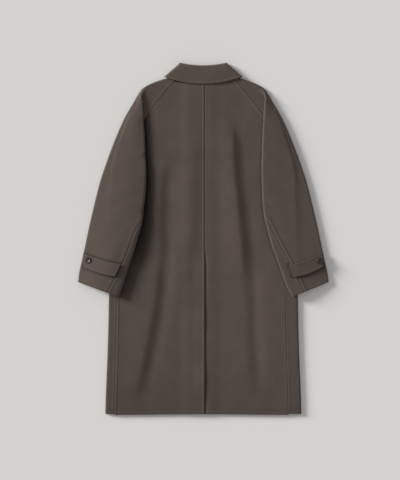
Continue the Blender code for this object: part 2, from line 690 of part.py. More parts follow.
def cloth(name, grid, side, collection, surface, thickness=WALL):
    """Lay a grid of points as one wall of cloth of even thickness."""
    rows, columns = grid.shape[:2]
    sign = -1 if side == "left" else 1
    bpy.ops.mesh.primitive_grid_add(x_subdivisions=columns - 1, y_subdivisions=rows - 1, size=1)
    item = bpy.context.object
    item.name = name
    item.data.name = name
    order = sorted(range(rows * columns), key=lambda i: (round(item.data.vertices[i].co.y, 5),
                                                         item.data.vertices[i].co.x))
    for place_index, vertex in enumerate(order):
        x, y, z = grid[place_index // columns, place_index % columns]
        item.data.vertices[vertex].co = (sign * x * MM, y * MM, z * MM)
    wall = item.modifiers.new("Wall", "SOLIDIFY")
    wall.thickness = thickness * MM
    wall.offset = 0.0
    wall.use_even_offset = False
    place(item, collection, surface)
    return item


def button(name, side, collection, surface):
    x, y = BUTTONS[side]
    sign = -1 if side == "left" else 1
    z = sleeve_top(side, x, y) + TAB_LIFT
    ahead = sleeve_top(side, x - 8, y) - sleeve_top(side, x + 8, y)
    tilt = math.atan2(ahead, 16)
    lift = HALF + 0.8 + BUTTON_THICKNESS / 2
    place_at = (sign * (x + math.sin(tilt) * lift) * MM, y * MM, (z + lift * math.cos(tilt)) * MM)
    bpy.ops.mesh.primitive_cylinder_add(vertices=28, radius=BUTTON_RADIUS * MM,
                                        depth=BUTTON_THICKNESS * MM, location=place_at,
                                        rotation=(0, sign * tilt, 0))
    item = bpy.context.object
    item.name = name
    item.data.name = name
    place(item, collection, surface)
    return item


def main():
    clear_scene()
    coat = bpy.data.collections.new("balmacaan_coat")
    bpy.context.scene.collection.children.link(coat)
    wool = material("wool", CLOTH, 0.9)
    wool_dark = material("wool_shaded", CLOTH_DARK, 0.9)
    horn = material("horn", HORN, 0.35)
    for side in ("left", "right"):
        cloth("back_" + side, back_grid(side), side, coat, wool)
        cloth("front_" + side, front_grid(side), side, coat, wool_dark)
        cloth("sleeve_back_" + side, sleeve_back_grid(side), side, coat, wool)
        cloth("sleeve_front_" + side, sleeve_front_grid(side), side, coat, wool_dark)
        cloth("cuff_tab_" + side, tab_grid(side), side, coat, wool)
        button("cuff_button_" + side, side, coat, horn)
    cloth("collar", collar_grid(), "right", coat, wool)


main()
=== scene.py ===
"""Dresses the laid balmacaan coat in felted wool, with its seams, stitches and buttons.

Lengths are millimetres while the cloth is worked out and become metres in the meshes. X runs
to the right of the laid coat, Y from the hem to the collar and Z up. The tables count x outward
from the middle on each side, and the wearer's left side is at negative X.
"""

import math

import bmesh
import bpy
import numpy as np
from bpy.props import FloatProperty, FloatVectorProperty, PointerProperty
from mathutils import Matrix, Vector, noise


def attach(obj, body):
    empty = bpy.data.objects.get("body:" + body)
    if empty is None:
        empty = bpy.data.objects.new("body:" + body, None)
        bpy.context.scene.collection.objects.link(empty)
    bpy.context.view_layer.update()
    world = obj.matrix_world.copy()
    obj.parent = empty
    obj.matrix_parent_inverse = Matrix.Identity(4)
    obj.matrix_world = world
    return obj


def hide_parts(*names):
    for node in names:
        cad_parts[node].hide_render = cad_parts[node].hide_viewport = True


bl_info = {
    "name": "Balmacaan coat",
    "version": (1, 0, 0),
    "blender": (4, 5, 0),
    "location": "View3D > Sidebar > Coat",
    "description": "Lays out a wool balmacaan coat, back up, on a pale studio floor",
    "category": "Object",
}

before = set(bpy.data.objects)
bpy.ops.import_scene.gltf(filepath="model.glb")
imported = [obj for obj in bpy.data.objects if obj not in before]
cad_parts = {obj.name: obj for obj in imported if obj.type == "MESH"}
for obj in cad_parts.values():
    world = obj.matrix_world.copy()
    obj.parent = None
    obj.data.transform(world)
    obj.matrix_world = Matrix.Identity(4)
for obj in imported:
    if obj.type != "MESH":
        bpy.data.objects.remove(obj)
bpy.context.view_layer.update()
SIDES = ("left", "right")

MM = 0.001
SIGN = {"left": -1, "right": 1}

# Thickness of the cloth, the gap at a seam, the air between a sleeve's layers and a cut edge's rim.
WALL = 2.4
HALF = WALL / 2
SEAM_GAP = 0.08
CLEAR = 0.4
RIM_WIDTH = 0.45

# Heights of the middle of the cloth above the surface.
FRONT_Z = HALF
BACK_Z = 7.6
ARM_Z = 12.0
CREASE_LOW_Z = 8.4

# The fronts lap over each other down the middle and carry the collar's points.
FRONT_LAP = 40.0
LAP_STEP = 2.9
COLLAR_STEP = 3.6
FRONT_HEM_SHORT = 3.0
FRONT_HEM_FROM = -560
# A front's rows are level up to FRONT_EVEN, and above it they rise from the centre edge to the
# raglan seam. Below FRONT_TURN it folds round the side, and below FRONT_ROUND it reaches the seam.
FRONT_EVEN, FRONT_EDGE_TOP, FRONT_SEAM_TOP = 330, 449, 497
FRONT_TURN, FRONT_ROUND = 268, 250
# Lower edge of the collar's front: its point, and how it rises over a width beside that.
COLLAR_POINT = {"x": 29.0, "y": 362, "width": 98.0, "rise": 166}

# The back's centre seam and vent, where the left back lies over the right.
CENTRE_EDGE = 4.6
SEAM_ALLOWANCE = 10.0
VENT_UNDERLAP = 44.0
VENT_TOP = -37.0
VENT_OPENING = 8.0
CENTRE_RISE = 2.0
UNDER_DROP = 2.7
UNDER_EDGE = 0.6
# How far the vent's edge stands off, and where it does so more: height, reach and how much.
VENT_LIFT = 1.3
VENT_LIFTS = [(-266, 44, 1.7), (-454, 52, 1.9)]

# The back's neck, its length and how far it dips and rises, the hem and the underarm.
BACK_NECK = 526
BACK_LENGTH = 1100.0
NECK_DIP = 2.4
NECK_RISE = 0.6
UPPER_BACK_RISE = 2.3
HEM_FROM = -540
HEM_LEVEL = -574.0
HEM_MIDDLE = -574.4
HEM_SIDE = -576.7
UNDERARM = (285.0, 242.0)
UNDERARM_SIDE = 294.0
UNDERARM_DIP = 2.2

# How far the overarm seam lies in from a sleeve's edge, on its under side, how far a sleeve's edge
# lies out from the back raglan seam, and how softly its top comes down on the layers below.
OVERARM_IN = 2.0
RAGLAN_ASIDE = (0.75 * SEAM_GAP, 0)
TOP_SOFTNESS = 6.0

# Points in the rolls and stretches of a section, and columns in a wide and in a narrow panel.
ROLL_POINTS = 7
FOLD_POINTS = 14
STRETCH_POINTS = 24
RING_POINTS = 60
WIDE_COLUMNS = 58
BACK_COLUMNS = 52
NARROW_COLUMNS = 26


def table(columns, *rows):
    """The rows of a table whose columns are named once."""
    return [dict(zip(columns.split(), row)) for row in rows]


# Outline of shoulder and sleeve: distance from the middle (x) at each height (y).
SLEEVE_OUTLINE = [
    (525, 106), (521, 127), (518, 142), (512, 156), (506, 171), (499, 185), (492, 195.5),
    (486, 202.5), (479, 207), (466, 215.5), (453, 222.5), (427, 238), (401, 253), (375, 266),
    (349, 277), (296, 298.5), (244, 317.5), (192, 335), (139, 349), (87, 361.5), (35, 373.5),
    (-18, 384.5), (-70, 396), (-122, 406.5), (-146, 409),
]
# Inner fold of each sleeve, where it lies on the back.
INNER_FOLD = {
    "left": [
        (485, 196), (479, 199), (453, 200), (421, 197), (388, 196), (339, 193), (290, 191),
        (228, 187.5), (165, 189), (103, 195), (48, 202), (2, 215), (-41, 227), (-103, 248),
        (-145, 261), (-192, 277),
    ],
    "right": [
        (485, 198), (476, 201), (460, 202), (421, 199), (388, 197), (322, 194), (257, 191),
        (228, 191), (165, 193), (103, 196), (74, 200), (31, 210), (-18, 223), (-66, 240),
        (-112, 257), (-153, 272), (-197, 296),
    ],
}
BODY_SIDE = [
    (300, 290), (275, 293), (241, 295.5), (126, 300), (-37, 304), (-191, 308), (-247, 309),
    (-312, 310.5), (-377, 312.5), (-443, 315), (-508, 318), (-575, 319.5),
]
SIDE_SEAM = {
    "left": [(242, 285), (126, 281), (-37, 281), (-201, 283), (-364, 286), (-577, 292)],
    "right": [(242, 285), (126, 277), (-37, 270), (-217, 269), (-397, 274), (-577, 279)],
}
BACK_RAGLAN = [(530, 82), (518, 92), (397, 189), (287, 256), (242, 284)]
FRONT_RAGLAN = [(499, 87), (414, 187), (339, 243), (290, 275), (268, 291)]
CREASE = [(480, 203), (243, 285)]

# One row for each section of a sleeve, from the neck to the underarm. y_outer is on the outline,
# y_inner on the inner fold, y_crease on the hidden crease and y_seam on the raglan seam. fold
# grows from 0 at the shoulder to 1, r_outer and r_inner are the radii of the two rolled edges.
SLEEVE_ROWS = table(
    "y_outer y_inner y_crease y_seam fold r_outer r_inner",
    (525, 0, 0, 526, 0, 0, 0),
    (520, 0, 0, 509, 0, 0, 0),
    (513, 0, 0, 489, 0, 0, 0),
    (505, 0, 0, 471, 0, 0, 0),
    (496, 0, 0, 453, 0, 0, 0),
    (487, 480, 477, 438, 0.35, 3.6, 2.4),
    (477, 469, 466, 426, 0.7, 4.2, 2.6),
    (465, 454, 455, 414, 1, 4.6, 2.9),
    (448, 433, 437, 401, 1, 4.8, 3.4),
    (426, 407, 414, 380, 1, 4.9, 4.1),
    (397, 375, 384, 351, 1, 5.0, 4.8),
    (360, 334, 347, 319, 1, 5.0, 5.3),
    (320, 290, 308, 288, 1, 4.9, 5.5),
    (280, 247, 271, 262, 1, 4.8, 5.5),
    (250, 213, 248, 246, 1, 4.7, 5.5),
)
# Below the underarm left and right give the under-sleeve seam as a distance round the section
# from the inner fold, on the top where positive and on the under side where negative.
ARM_ROWS = table(
    "y_outer y_inner left right r_outer r_inner",
    (229, 190, -90, -90, 4.5, 5.5),
    (206, 166, -76, -76, 4.4, 5.5),
    (172, 130, -48, -48, 4.4, 5.5),
    (144, 101, -24, -24, 4.4, 5.5),
    (125, 82, -6, -6, 4.4, 5.5),
    (110, 66, 4, 5, 4.4, 5.5),
    (92, 48, 10, 11, 4.4, 5.5),
    (67, 23, 18, 17, 4.4, 5.5),
    (18, -27, 23, 28, 4.4, 5.5),
    (-31, -76, 25, 36, 4.4, 5.4),
    (-77, -123, 32, 44, 4.4, 5.2),
    (-115, -162, 39, 46, 4.4, 5.0),
    (-142, -190, 42, 43, 4.4, 4.8),
)
# Heights at which the fronts are worked out, on the raglan seam and below it on the side fold.
FRONT_SEAM_YS = [497, 482, 465, 449, 433, 421, 410, 400, 388, 371, 350, 325, 297, 270]
FRONT_SIDE_YS = [255, 241, 225, 180, 120, 50, -22, -50, -115, -190, -265, -340, -415, -490, -550, -574]
# What the inner fold's radius gains where the sleeve stands off the back, and how far round an
# arch the sleeve's top goes, in radians: a wide arch is highest before it reaches the fold.
LOFT = {
    "left": [(490, -0.1), (420, -0.9), (349, -1.7), (280, -1.4), (224, -0.7), (143, 0.3), (61, 1.1),
             (-21, 1.9), (-103, 1.7), (-195, 1.9)],
    "right": [(490, 0), (400, -0.6), (250, -1.2), (-195, -1.0)],
}
CROWN = {
    "left": [(490, 1.3), (400, 1.6), (250, 1.8), (50, 1.9), (-100, 2.05), (-195, 2.05)],
    "right": [(490, 1.2), (250, 1.35), (-195, 1.4)],
}

# Soft valleys in the back: the side, where each runs, its half width and depth.
VALLEYS = table(
    "side line width depth top bottom",
    ("left", [(240, 108), (143, 115), (61, 116), (-21, 116), (-103, 120), (-217, 131), (-332, 152),
     (-446, 174)], 24.0, 3.0, 260, -540),
    ("right", [(400, 92), (349, 106), (290, 119), (224, 124), (143, 135), (61, 147), (-21, 153),
     (-103, 160), (-217, 168), (-332, 172), (-446, 178)], 20.0, 2.2, 425, -540),
)

# Sections of the collar: its neck seam, stand, stand's top, roll, fall's top, fall and edge. A
# section runs down the back to COLLAR_BACK_END, round the side, and from COLLAR_FRONT_BEGIN along
# the front.
COLLAR_BACK_END, COLLAR_FRONT_BEGIN = 0.40, 0.60
COLLAR_ROWS = table(
    "x_side y_back y_side y_front z_back z_front x_end foot power",
    (109.5, 524.6, 534, 452, 8.8, 4.8, 6.5, 0, 2.2),
    (92, 545, 552, 468, 8.8, 4.8, 6.5, 0, 2.2),
    (72, 560, 564, 484, 9.2, 4.8, 6.5, 0, 2.2),
    (76.5, 565.2, 573.8, 489, 13.0, 3.0, 7, 0, 2.2),
    (83, 559.6, 567.2, 483, 16.6, 1.3, 8, 4, 2.2),
    (104, 535, 549, 425, 15.4, 1.3, 18, 16, 1.9),
    (127, 505.4, 528.6, 362, 13.1, 1.3, 29, 29, 1.5),
)

# Corners of the cuff tabs and middles of their buttons, each from the middle.
TAB_LIFT = WALL + 2.3
BUTTON_LIFT = HALF + 1.2
TABS = {
    "left": {"outer_top": (386, -50), "inner_top": (268, -84), "inner_low": (288, -124),
             "outer_low": (391, -92)},
    "right": {"outer_top": (388, -47), "inner_top": (279, -86), "inner_low": (294, -126),
              "outer_low": (394, -90)},
}
# How far the middle of a tab's lower edge hangs, how much of that its upper edge has, and the edges
# along which the sleeve is pressed in and gets a line of painted shade.
TAB_SAG = {"left": 4.4, "right": 6.5}
TAB_UPPER_SHARE = {"left": 0.9, "right": 0.72}
TAB_LINES = {
    "left": [("outer_top", "inner_top"), ("inner_top", "inner_low"), ("inner_low", "outer_low")],
    "right": [("inner_top", "inner_low"), ("inner_low", "outer_low")],
}
BUTTONS = {"left": (376, -70), "right": (380, -73)}
# Half section of a button, from the middle of its face round the rim to the middle of its back.
BUTTON_PROFILE = [(0, 1.6), (3.9, 1.6), (5.2, 1.8), (6.6, 2.6), (8.0, 3.2), (9.2, 3.2),
                  (10.2, 2.5), (10.5, 1.6), (10.2, 0.8), (9.0, 0.2), (0, 0)]
TAB_STEPS = np.array([0, 1.0, 2.2, 3.5, 4.8, 6.2])

# What the camera takes in, in millimetres, and the floor's half width, drop and the height in
# focus, in metres.
FRAME_HEIGHT = 1569.6
FRAME_CENTRE = (-10.8, -4.6)
FLOOR_HALF, FLOOR_DROP, FOCUS_HEIGHT = 15.0, 0.0003, 0.01

# Painted highlight beside the back's centre seam, painted light over the whole right back, and which
# waves a panel has.
CENTRE_PAINTED_HIGHLIGHT = {"left": 0.16, "right": 0.0}
BACK_PAINTED_LIGHT = {"left": 1.0, "right": 1.06}
BACK_WAVES = {"left": 3.0, "right": 5.5}
SLEEVE_WAVES = {"left": 12.0, "right": 17.5}

# Curves already worked out, and how far each goes straight on past its ends.
CURVES = {}
PAST_END = 40


def smooth(start, end, value):
    """Rise softly from 0 at start to 1 at end."""
    t = np.clip((np.asarray(value, float) - start) / (end - start), 0.0, 1.0)
    return t * t * (3 - 2 * t)


def bend(t, start, end, leaving, arriving):
    """Soft curve from start to end, with the slopes it leaves and arrives by; t runs from 0 to 1."""
    return ((1 + 2 * t) * (1 - t) ** 2 * start + t * (1 - t) ** 2 * leaving
            + (t * t * (3 - 2 * t) * end + t * t * (t - 1) * arriving))


def curve(line, y):
    """Read a curve given as (y, x) pairs at an array of heights, with soft bends."""
    key = id(line)
    if key not in CURVES:
        ys, xs = np.array(sorted(line), float).T
        CURVES[key] = (ys, xs, np.gradient(xs, ys))
    ys, xs, slopes = CURVES[key]
    y = np.asarray(y, float)
    i = np.clip(np.searchsorted(ys, y) - 1, 0, len(ys) - 2)
    span = ys[i + 1] - ys[i]
    t = np.clip((y - ys[i]) / span, 0, 1)
    past = np.clip(y - ys[-1], 0, PAST_END) * slopes[-1] + np.clip(y - ys[0], -PAST_END, 0) * slopes[0]
    return bend(t, xs[i], xs[i + 1], span * slopes[i], span * slopes[i + 1]) + past


def along(line, y):
    """A curve's x at one height."""
    return float(curve(line, y))


def point_on(line, y):
    """Plan position of a curve at one height."""
    return np.array([along(line, y), y])


def collar_reach(x):
    """Lower edge of the collar's front, which lies under the fronts."""
    t = max(abs(x) - COLLAR_POINT["x"], 0.0) / COLLAR_POINT["width"]
    return COLLAR_POINT["y"] + COLLAR_POINT["rise"] * t ** 1.65


def collar_lift(x, y):
    """How far a front rises over the collar's point below it."""
    reach = collar_reach(max(abs(x) - 16.0, 0.0)) - 12
    return COLLAR_STEP * float(smooth(reach - 34, reach, y))


def front_level(x, y, side):
    """Middle of a front's cloth; x is counted outward from the middle on its own side."""
    z = FRONT_Z + collar_lift(x, y)
    if side == "right":
        z += LAP_STEP * float(smooth(65, 46, x))
    return z


def back_level(x, y, side, folds=True):
    """Middle of the back's cloth; x is counted outward from the middle on its own side."""
    z = BACK_Z + NECK_RISE * float(smooth(470, 510, y))
    hump = float(smooth(130, 48, abs(x)) * smooth(240, 345, y) * smooth(518, 460, y))
    z += UPPER_BACK_RISE * hump
    if side == "left":
        z += CENTRE_RISE * float(smooth(80, 43, x))
    else:
        rise = CENTRE_RISE * float(smooth(60, 16, x))
        opening = VENT_OPENING * float(smooth(VENT_TOP + 10, VENT_TOP - 40, y))
        under = float(smooth(5.9 + opening, CENTRE_EDGE - 0.3 + 0.1 * opening, x))
        z += rise - UNDER_DROP * under
    reach = math.hypot(x - UNDERARM[0], y - UNDERARM[1])
    z -= UNDERARM_DIP * math.exp(-((reach / 30.0) ** 2))
    if folds:
        for fold in VALLEYS:
            if fold["side"] != side:
                continue
            gone = float(smooth(fold["top"], fold["top"] - 70, y)
                         * smooth(fold["bottom"], fold["bottom"] + 150, y))
            off = (x - along(fold["line"], y)) / fold["width"]
            z -= fold["depth"] * gone * math.exp(-off * off)
    return z


def arm_level(x, y):
    """Middle of the sleeve's under layer, on the body or down on the surface beside it."""
    side = 1 + (along(BODY_SIDE, y) if y < 275 else UNDERARM_SIDE)
    ramp = 13 + 15 * float(smooth(240, 150, y))
    return FRONT_Z + (ARM_Z - FRONT_Z) * float(smooth(side + ramp, side, x))


def mix(a, b, t):
    """Between a and b, at t from 0 to 1."""
    return np.asarray(a, float) * (1 - t) + np.asarray(b, float) * t


def arc(centre, out, radius, start, end, steps):
    """Points round a roll whose plane holds the direction out and Z."""
    points = []
    for i in range(steps + 1):
        angle = math.radians(start + (end - start) * i / steps)
        flat = np.array(centre[:2]) + radius * math.cos(angle) * np.asarray(out)
        points.append((flat[0], flat[1], centre[2] + radius * math.sin(angle)))
    return points


def run(start, end, height, steps):
    """Points between two plan positions with the height read from a function of the fraction."""
    points = []
    for i in range(1, steps):
        t = i / steps
        flat = mix(start, end, t)
        points.append((flat[0], flat[1], height(t, flat)))
    return points


def unit(vector):
    """A direction of length 1."""
    vector = np.asarray(vector, float)
    return vector / max(np.linalg.norm(vector), 1e-9)


def front_start(i):
    """Where a section of the sleeve front starts: on the front raglan seam, or at the underarm."""
    if i < len(FRONT_SEAM_YS) - 1:
        return front_seam_point(i, True)
    if i == len(FRONT_SEAM_YS) - 1:
        return front_seam_point(i, True) + np.array([7.2, 0])
    return np.array([297.5, 243.0])


def outer_roll(row, outer, way, radius, low):
    """The overarm edge from its seam on the under side, round the outline to the top."""
    way_low = way
    if "fold" in row:
        way_low = unit(front_start(SLEEVE_ROWS.index(row)) - outer)
    start = outer + (radius + OVERARM_IN) * way_low
    points = [(*start, low)]
    points += arc((*(outer + radius * way_low), low + radius), -way_low, radius, -90, 0,
                  ROLL_POINTS)[:-1]
    return points + arc((*(outer + radius * way), low + radius), -way, radius, 0, 90, ROLL_POINTS)


def shoulder_section(row, side):
    """Section of a sleeve back above the fold, from the outline to the raglan seam."""
    outer = point_on(SLEEVE_OUTLINE, row["y_outer"])
    seam = point_on(BACK_RAGLAN, row["y_seam"]) + RAGLAN_ASIDE
    way = unit(seam - outer)
    low = front_level(outer[0], outer[1], "left")
    radius = (back_level(outer[0], outer[1], side, False) - low) / 2
    points = outer_roll(row, outer, way, radius, low)
    points += run(outer + radius * way, seam, lambda t, p: back_level(p[0], p[1], side), 80)
    points.append((*seam, back_level(seam[0], seam[1], side)))
    return points


def inner_radius(row, side):
    """Radius of the inner fold, which stands higher where the sleeve lifts off the back."""
    return row["r_inner"] + along(LOFT[side], row["y_inner"])


def top_height(row, side, outer, flat, fraction, low, high, edge):
    """Height of a sleeve's top layer between its two rolled edges, clear of the layers below."""
    first = low + 2 * row["r_outer"]
    last = high + 2 * inner_radius(row, side)
    crown = along(CROWN[side], row["y_inner"])
    level = first + (last - first) * math.sin(crown * fraction) / math.sin(crown)
    start = min(edge + 32, outer[0] - row["r_outer"] - 1)
    least = low + (high - low) * float(smooth(start, edge - 3, flat[0])) + WALL + CLEAR
    return (level + least + math.hypot(level - least, TOP_SOFTNESS * math.sin(math.pi * fraction))) / 2


def over_and_round(row, side, high, edge, steps):
    """From the overarm seam round the outline, over the sleeve's top and round the inner fold."""
    outer = point_on(SLEEVE_OUTLINE, row["y_outer"])
    inner = point_on(INNER_FOLD[side], row["y_inner"])
    way = unit(inner - outer)
    ro, ri = row["r_outer"], inner_radius(row, side)
    end = inner - ri * way
    points = outer_roll(row, outer, way, ro, FRONT_Z)
    points += run(outer + ro * way, end,
                  lambda t, p: top_height(row, side, outer, p, t, FRONT_Z, high, edge), steps)
    return points + arc((*end, high + ri), way, ri, 90, -90, FOLD_POINTS), end


def folded_section(row, side):
    """Section from the outline over the inner fold, back to the crease and in to the raglan seam."""
    crease = point_on(CREASE, row["y_crease"])
    last = row is SLEEVE_ROWS[-1]
    seam = point_on(BACK_RAGLAN, row["y_seam"])
    seam[0] += 2.5 if last else 1.0 if row["y_seam"] < 290 else RAGLAN_ASIDE[0]
    points, end = over_and_round(row, side, ARM_Z, crease[0] + 12, STRETCH_POINTS)
    back_way = unit(point_on(INNER_FOLD[side], row["y_inner"]) - crease)
    seam_z = CREASE_LOW_Z if last else back_level(seam[0], seam[1], side)
    turn = (ARM_Z - seam_z) / 2
    centre = crease + turn * back_way
    points += run(end, centre, lambda t, p: ARM_Z, FOLD_POINTS)
    points += arc((*centre, seam_z + turn), -back_way, turn, 90, -90, FOLD_POINTS)

    def under_level(t, p):
        return seam_z if last else mix(seam_z, back_level(p[0], p[1], side), min(1, t * 2))

    points += run(centre, seam, under_level, STRETCH_POINTS)
    points.append((*seam, seam_z))
    if row["fold"] < 1:
        points = mix(unfolded_section(row, side), points, row["fold"])
    return points


def unfolded_section(row, side):
    """The same points as folded_section before the fold begins, spread over the flat shoulder."""
    outer = point_on(SLEEVE_OUTLINE, row["y_outer"])
    seam = point_on(BACK_RAGLAN, row["y_seam"]) + RAGLAN_ASIDE
    way = unit(seam - outer)

    def level(t, p):
        return back_level(p[0], p[1], side)

    radius = (back_level(outer[0], outer[1], side, False) - FRONT_Z) / 2
    points = outer_roll(row, outer, way, radius, FRONT_Z)
    marks = [outer + reach * way for reach in (radius, 11, 17, 21, 27)] + [seam]
    counts = [STRETCH_POINTS, FOLD_POINTS, FOLD_POINTS, FOLD_POINTS, STRETCH_POINTS]
    for start, end, count, is_roll in zip(marks, marks[1:], counts, (False, True, False, True, False)):
        if is_roll:
            flats = [mix(start, end, j / count) for j in range(count + 1)]
            points += [(*flat, level(0, flat)) for flat in flats]
        else:
            points += run(start, end, level, count)
    points.append((*seam, level(0, seam)))
    return points


def ring_section(row, side):
    """Closed section of a sleeve, from the outline over the top, round the inner fold and back below."""
    outer = point_on(SLEEVE_OUTLINE, row["y_outer"])
    inner = point_on(INNER_FOLD[side], row["y_inner"])
    high = arm_level(inner[0], inner[1])
    edge = along(BODY_SIDE, row["y_outer"] * 0.5 + row["y_inner"] * 0.5)
    points, end = over_and_round(row, side, high, edge, RING_POINTS)
    finish = outer + (row["r_outer"] + OVERARM_IN) * unit(inner - outer)
    points += run(end, finish, lambda t, p: arm_level(p[0], p[1]), RING_POINTS)
    points.append((*finish, FRONT_Z))
    return points


# Distances from a panel's edge at which its cloth gets a line of points.
EDGE_STEPS = np.array([0, 1.1, 2.2, 3.4, 4.7, 6.0, 7.2, 8.4, 9.7, 11.2, 13.0, 15.5])
END_STEPS = np.array([0, 1.2, 2.6, 4.2, 6.0, 8.0])
ROW_STEP = 4.5
CLOSE_ROW_STEP = 6
TURN_WEIGHT = 11.0

# Soft ridges and troughs in the cloth. The line gives (y, x), and left and right are the widths
# of the two flanks as seen from above. A negative height is a trough.
FOLDS = table(
    "piece line left right height top bottom fade power",
    ("back_right", [(420, 88), (349, 95), (290, 96), (224, 98), (143, 107), (61, 114), (-21, 122),
     (-103, 126)], 50, 20, 6.8, 430, -145, 130, 1.6),
    ("back_right", [(-21, 120), (-103, 127), (-217, 135), (-332, 138), (-446, 144)], 60, 26, 1.8, 20,
     -540, 120, 1.8),
    ("back_right", [(349, 156), (224, 166), (61, 178), (-103, 190)], 34, 60, -2.2, 400, -200, 110, 2),
    ("back_left", [(400, 38), (290, 35), (224, 40), (143, 44), (61, 44), (-21, 56), (-103, 72),
     (-217, 90)], 42, 30, 2.6, 375, -250, 110, 2),
    ("back_left", [(224, 137), (143, 143), (61, 147), (-21, 142), (-103, 152)], 22, 19, 2.4, 300, -150,
     140, 2),
    ("back_left", [(-60, 147), (-103, 152), (-217, 166), (-332, 187), (-446, 212), (-520, 228)], 70, 22,
     4.2, -50, -560, 90, 1.8),
    ("back_left", [(-250, 292), (-400, 294), (-540, 298)], 20, 34, 1.2, -210, -570, 70, 2),
    ("back_right", [(-150, 208), (-300, 216), (-450, 224)], 34, 30, 0.9, -90, -520, 90, 2),
    ("sleeve_left", [(60, 262), (0, 300), (-60, 346)], 30, 26, -0.8, 80, -80, 40, 2),
    ("sleeve_right", [(180, 214), (110, 236), (40, 262)], 20, 32, 1.0, 220, 10, 60, 2),
)
# How wide and how deep the shade painted on the back reaches beside a sleeve's inner fold, where little
# light reaches it.
CREVICE_SHADE_WIDTH = {
    "left": [(480, 6), (450, 11), (420, 14), (349, 16), (224, 19), (143, 25), (61, 35), (-21, 47),
             (-103, 50), (-190, 48)],
    "right": [(480, 3), (349, 5), (-190, 6)],
}
CREVICE_SHADE_DEPTH = {
    "left": [(480, 0.5), (420, 0.8), (349, 0.88), (143, 0.9), (61, 0.86), (-21, 0.78), (-103, 0.5),
             (-190, 0.4)],
    "right": [(480, 0.2), (349, 0.3), (61, 0.35), (-190, 0.2)],
}


def measure(points):
    """Length along a section, and the same with its turns counted, so that rolls get more points."""
    points = np.asarray(points, float)
    steps = np.diff(points, axis=0)
    lengths = np.linalg.norm(steps, axis=1)
    ways = steps / np.maximum(lengths, 1e-6)[:, None]
    cosines = np.clip((ways[1:] * ways[:-1]).sum(1), -1, 1)
    moved = np.minimum(lengths[1:], lengths[:-1]) > 1e-3
    angles = np.where(moved, np.arccos(cosines), 0.0)
    turns = np.zeros(len(lengths))
    turns[1:] += angles / 2
    turns[:-1] += angles / 2
    true = np.concatenate([[0], lengths.cumsum()])
    counted = np.concatenate([[0], (lengths + TURN_WEIGHT * turns).cumsum()])
    return points, true, counted


def stations(length, near, far, count):
    """Marks along a length: near and far give those by its ends, with count even ones between."""
    near = near * min(1, 0.4 * length / near[-1])
    far = length - far[::-1] * min(1, 0.4 * length / far[-1])
    return np.concatenate([near, np.linspace(near[-1], far[0], count + 2)[1:-1], far])


def lengths_along(points):
    """Distance of each point of a line from its start."""
    return np.concatenate([[0], np.linalg.norm(np.diff(points, axis=0), axis=1).cumsum()])


def read_at(marks, lengths, values):
    """The three numbers of a line at marks along it."""
    return np.array([np.interp(marks, lengths, values[:, k]) for k in range(3)])


def spread(points, start, end, count):
    """Points along a section between two distances, close together by its ends and on its rolls.

    An end of 0 or less is counted back from the section's own end.
    """
    points, true, _ = measure(points)
    end = true[-1] + end if end <= 0 else end
    keep = (true > start + 1e-6) & (true < end - 1e-6)
    first, last = read_at(start, true, points), read_at(end, true, points)
    part, true, counted = measure(np.vstack([first, points[keep], last]))
    ends = np.interp(stations(true[-1], EDGE_STEPS, EDGE_STEPS, 0), true, counted)
    size = len(EDGE_STEPS)
    middle = np.linspace(ends[size - 1], ends[size], count + 2)[1:-1]
    marks = np.concatenate([ends[:size], middle, ends[size:]])
    return read_at(marks, counted, part).T


def flowing(grid, near=END_STEPS, far=EDGE_STEPS):
    """Smooth curves through the same point of each section, read every few millimetres."""
    gaps = np.linalg.norm(np.diff(grid, axis=0), axis=2).mean(1)
    keys = np.concatenate([[0], gaps.cumsum()])
    marks = stations(keys[-1], near, far, int(keys[-1] / ROW_STEP))
    wide = gaps[:, None, None]
    slope = np.diff(grid, axis=0) / wide
    tangent = np.zeros_like(grid)
    tangent[0], tangent[-1] = slope[0], slope[-1]
    before, after = 2 * wide[1:] + wide[:-1], wide[1:] + 2 * wide[:-1]
    same = slope[:-1] * slope[1:] > 1e-9
    low = np.where(same, slope[:-1], 1.0)
    high = np.where(same, slope[1:], 1.0)
    tangent[1:-1] = np.where(same, (before + after) / (before / low + after / high), 0.0)
    i = np.clip(np.searchsorted(keys, marks, side="right") - 1, 0, len(gaps) - 1)
    t = ((marks - keys[i]) / gaps[i])[:, None, None]
    return bend(t, grid[i], grid[i + 1], wide[i] * tangent[i], wide[i] * tangent[i + 1])


def seam_distance(points, from_fold):
    """Distance along a ring at which it passes the under-sleeve seam."""
    points, true, _ = measure(points)
    return true[int(np.argmin(points[:, 0]))] - from_fold


def close_rows(rows):
    """The rows of a table with more between them, so that a seam passes smoothly round a fold."""
    closer = [rows[0]]
    for upper, lower in zip(rows, rows[1:]):
        parts = max(1, round((upper["y_inner"] - lower["y_inner"]) / CLOSE_ROW_STEP))
        closer += [between(upper, lower, i / parts) for i in range(1, parts + 1)]
    return closer


def between(upper, lower, t):
    """The row of a table that lies between two of its rows."""
    return {key: upper[key] * (1 - t) + lower[key] * t for key in upper}


def sleeve_back_grid(side):
    """A sleeve's back half, from its overarm seam over the inner fold to the raglan or under seam."""
    rows = []
    for row in SLEEVE_ROWS:
        section = folded_section(row, side) if row["fold"] else shoulder_section(row, side)
        rows.append(spread(section, SEAM_GAP / 2, 0, WIDE_COLUMNS))
    for row in close_rows(ARM_ROWS):
        section = ring_section(row, side)
        end = seam_distance(section, row[side]) - SEAM_GAP
        rows.append(spread(section, SEAM_GAP / 2, end, WIDE_COLUMNS))
    return flowing(np.array(rows))


def front_seam_point(i, outside):
    """A point of the front raglan seam; outside is the sleeve's edge, a little further out."""
    return point_on(FRONT_RAGLAN, FRONT_SEAM_YS[i]) + (SEAM_GAP if outside else -SEAM_GAP, 0)


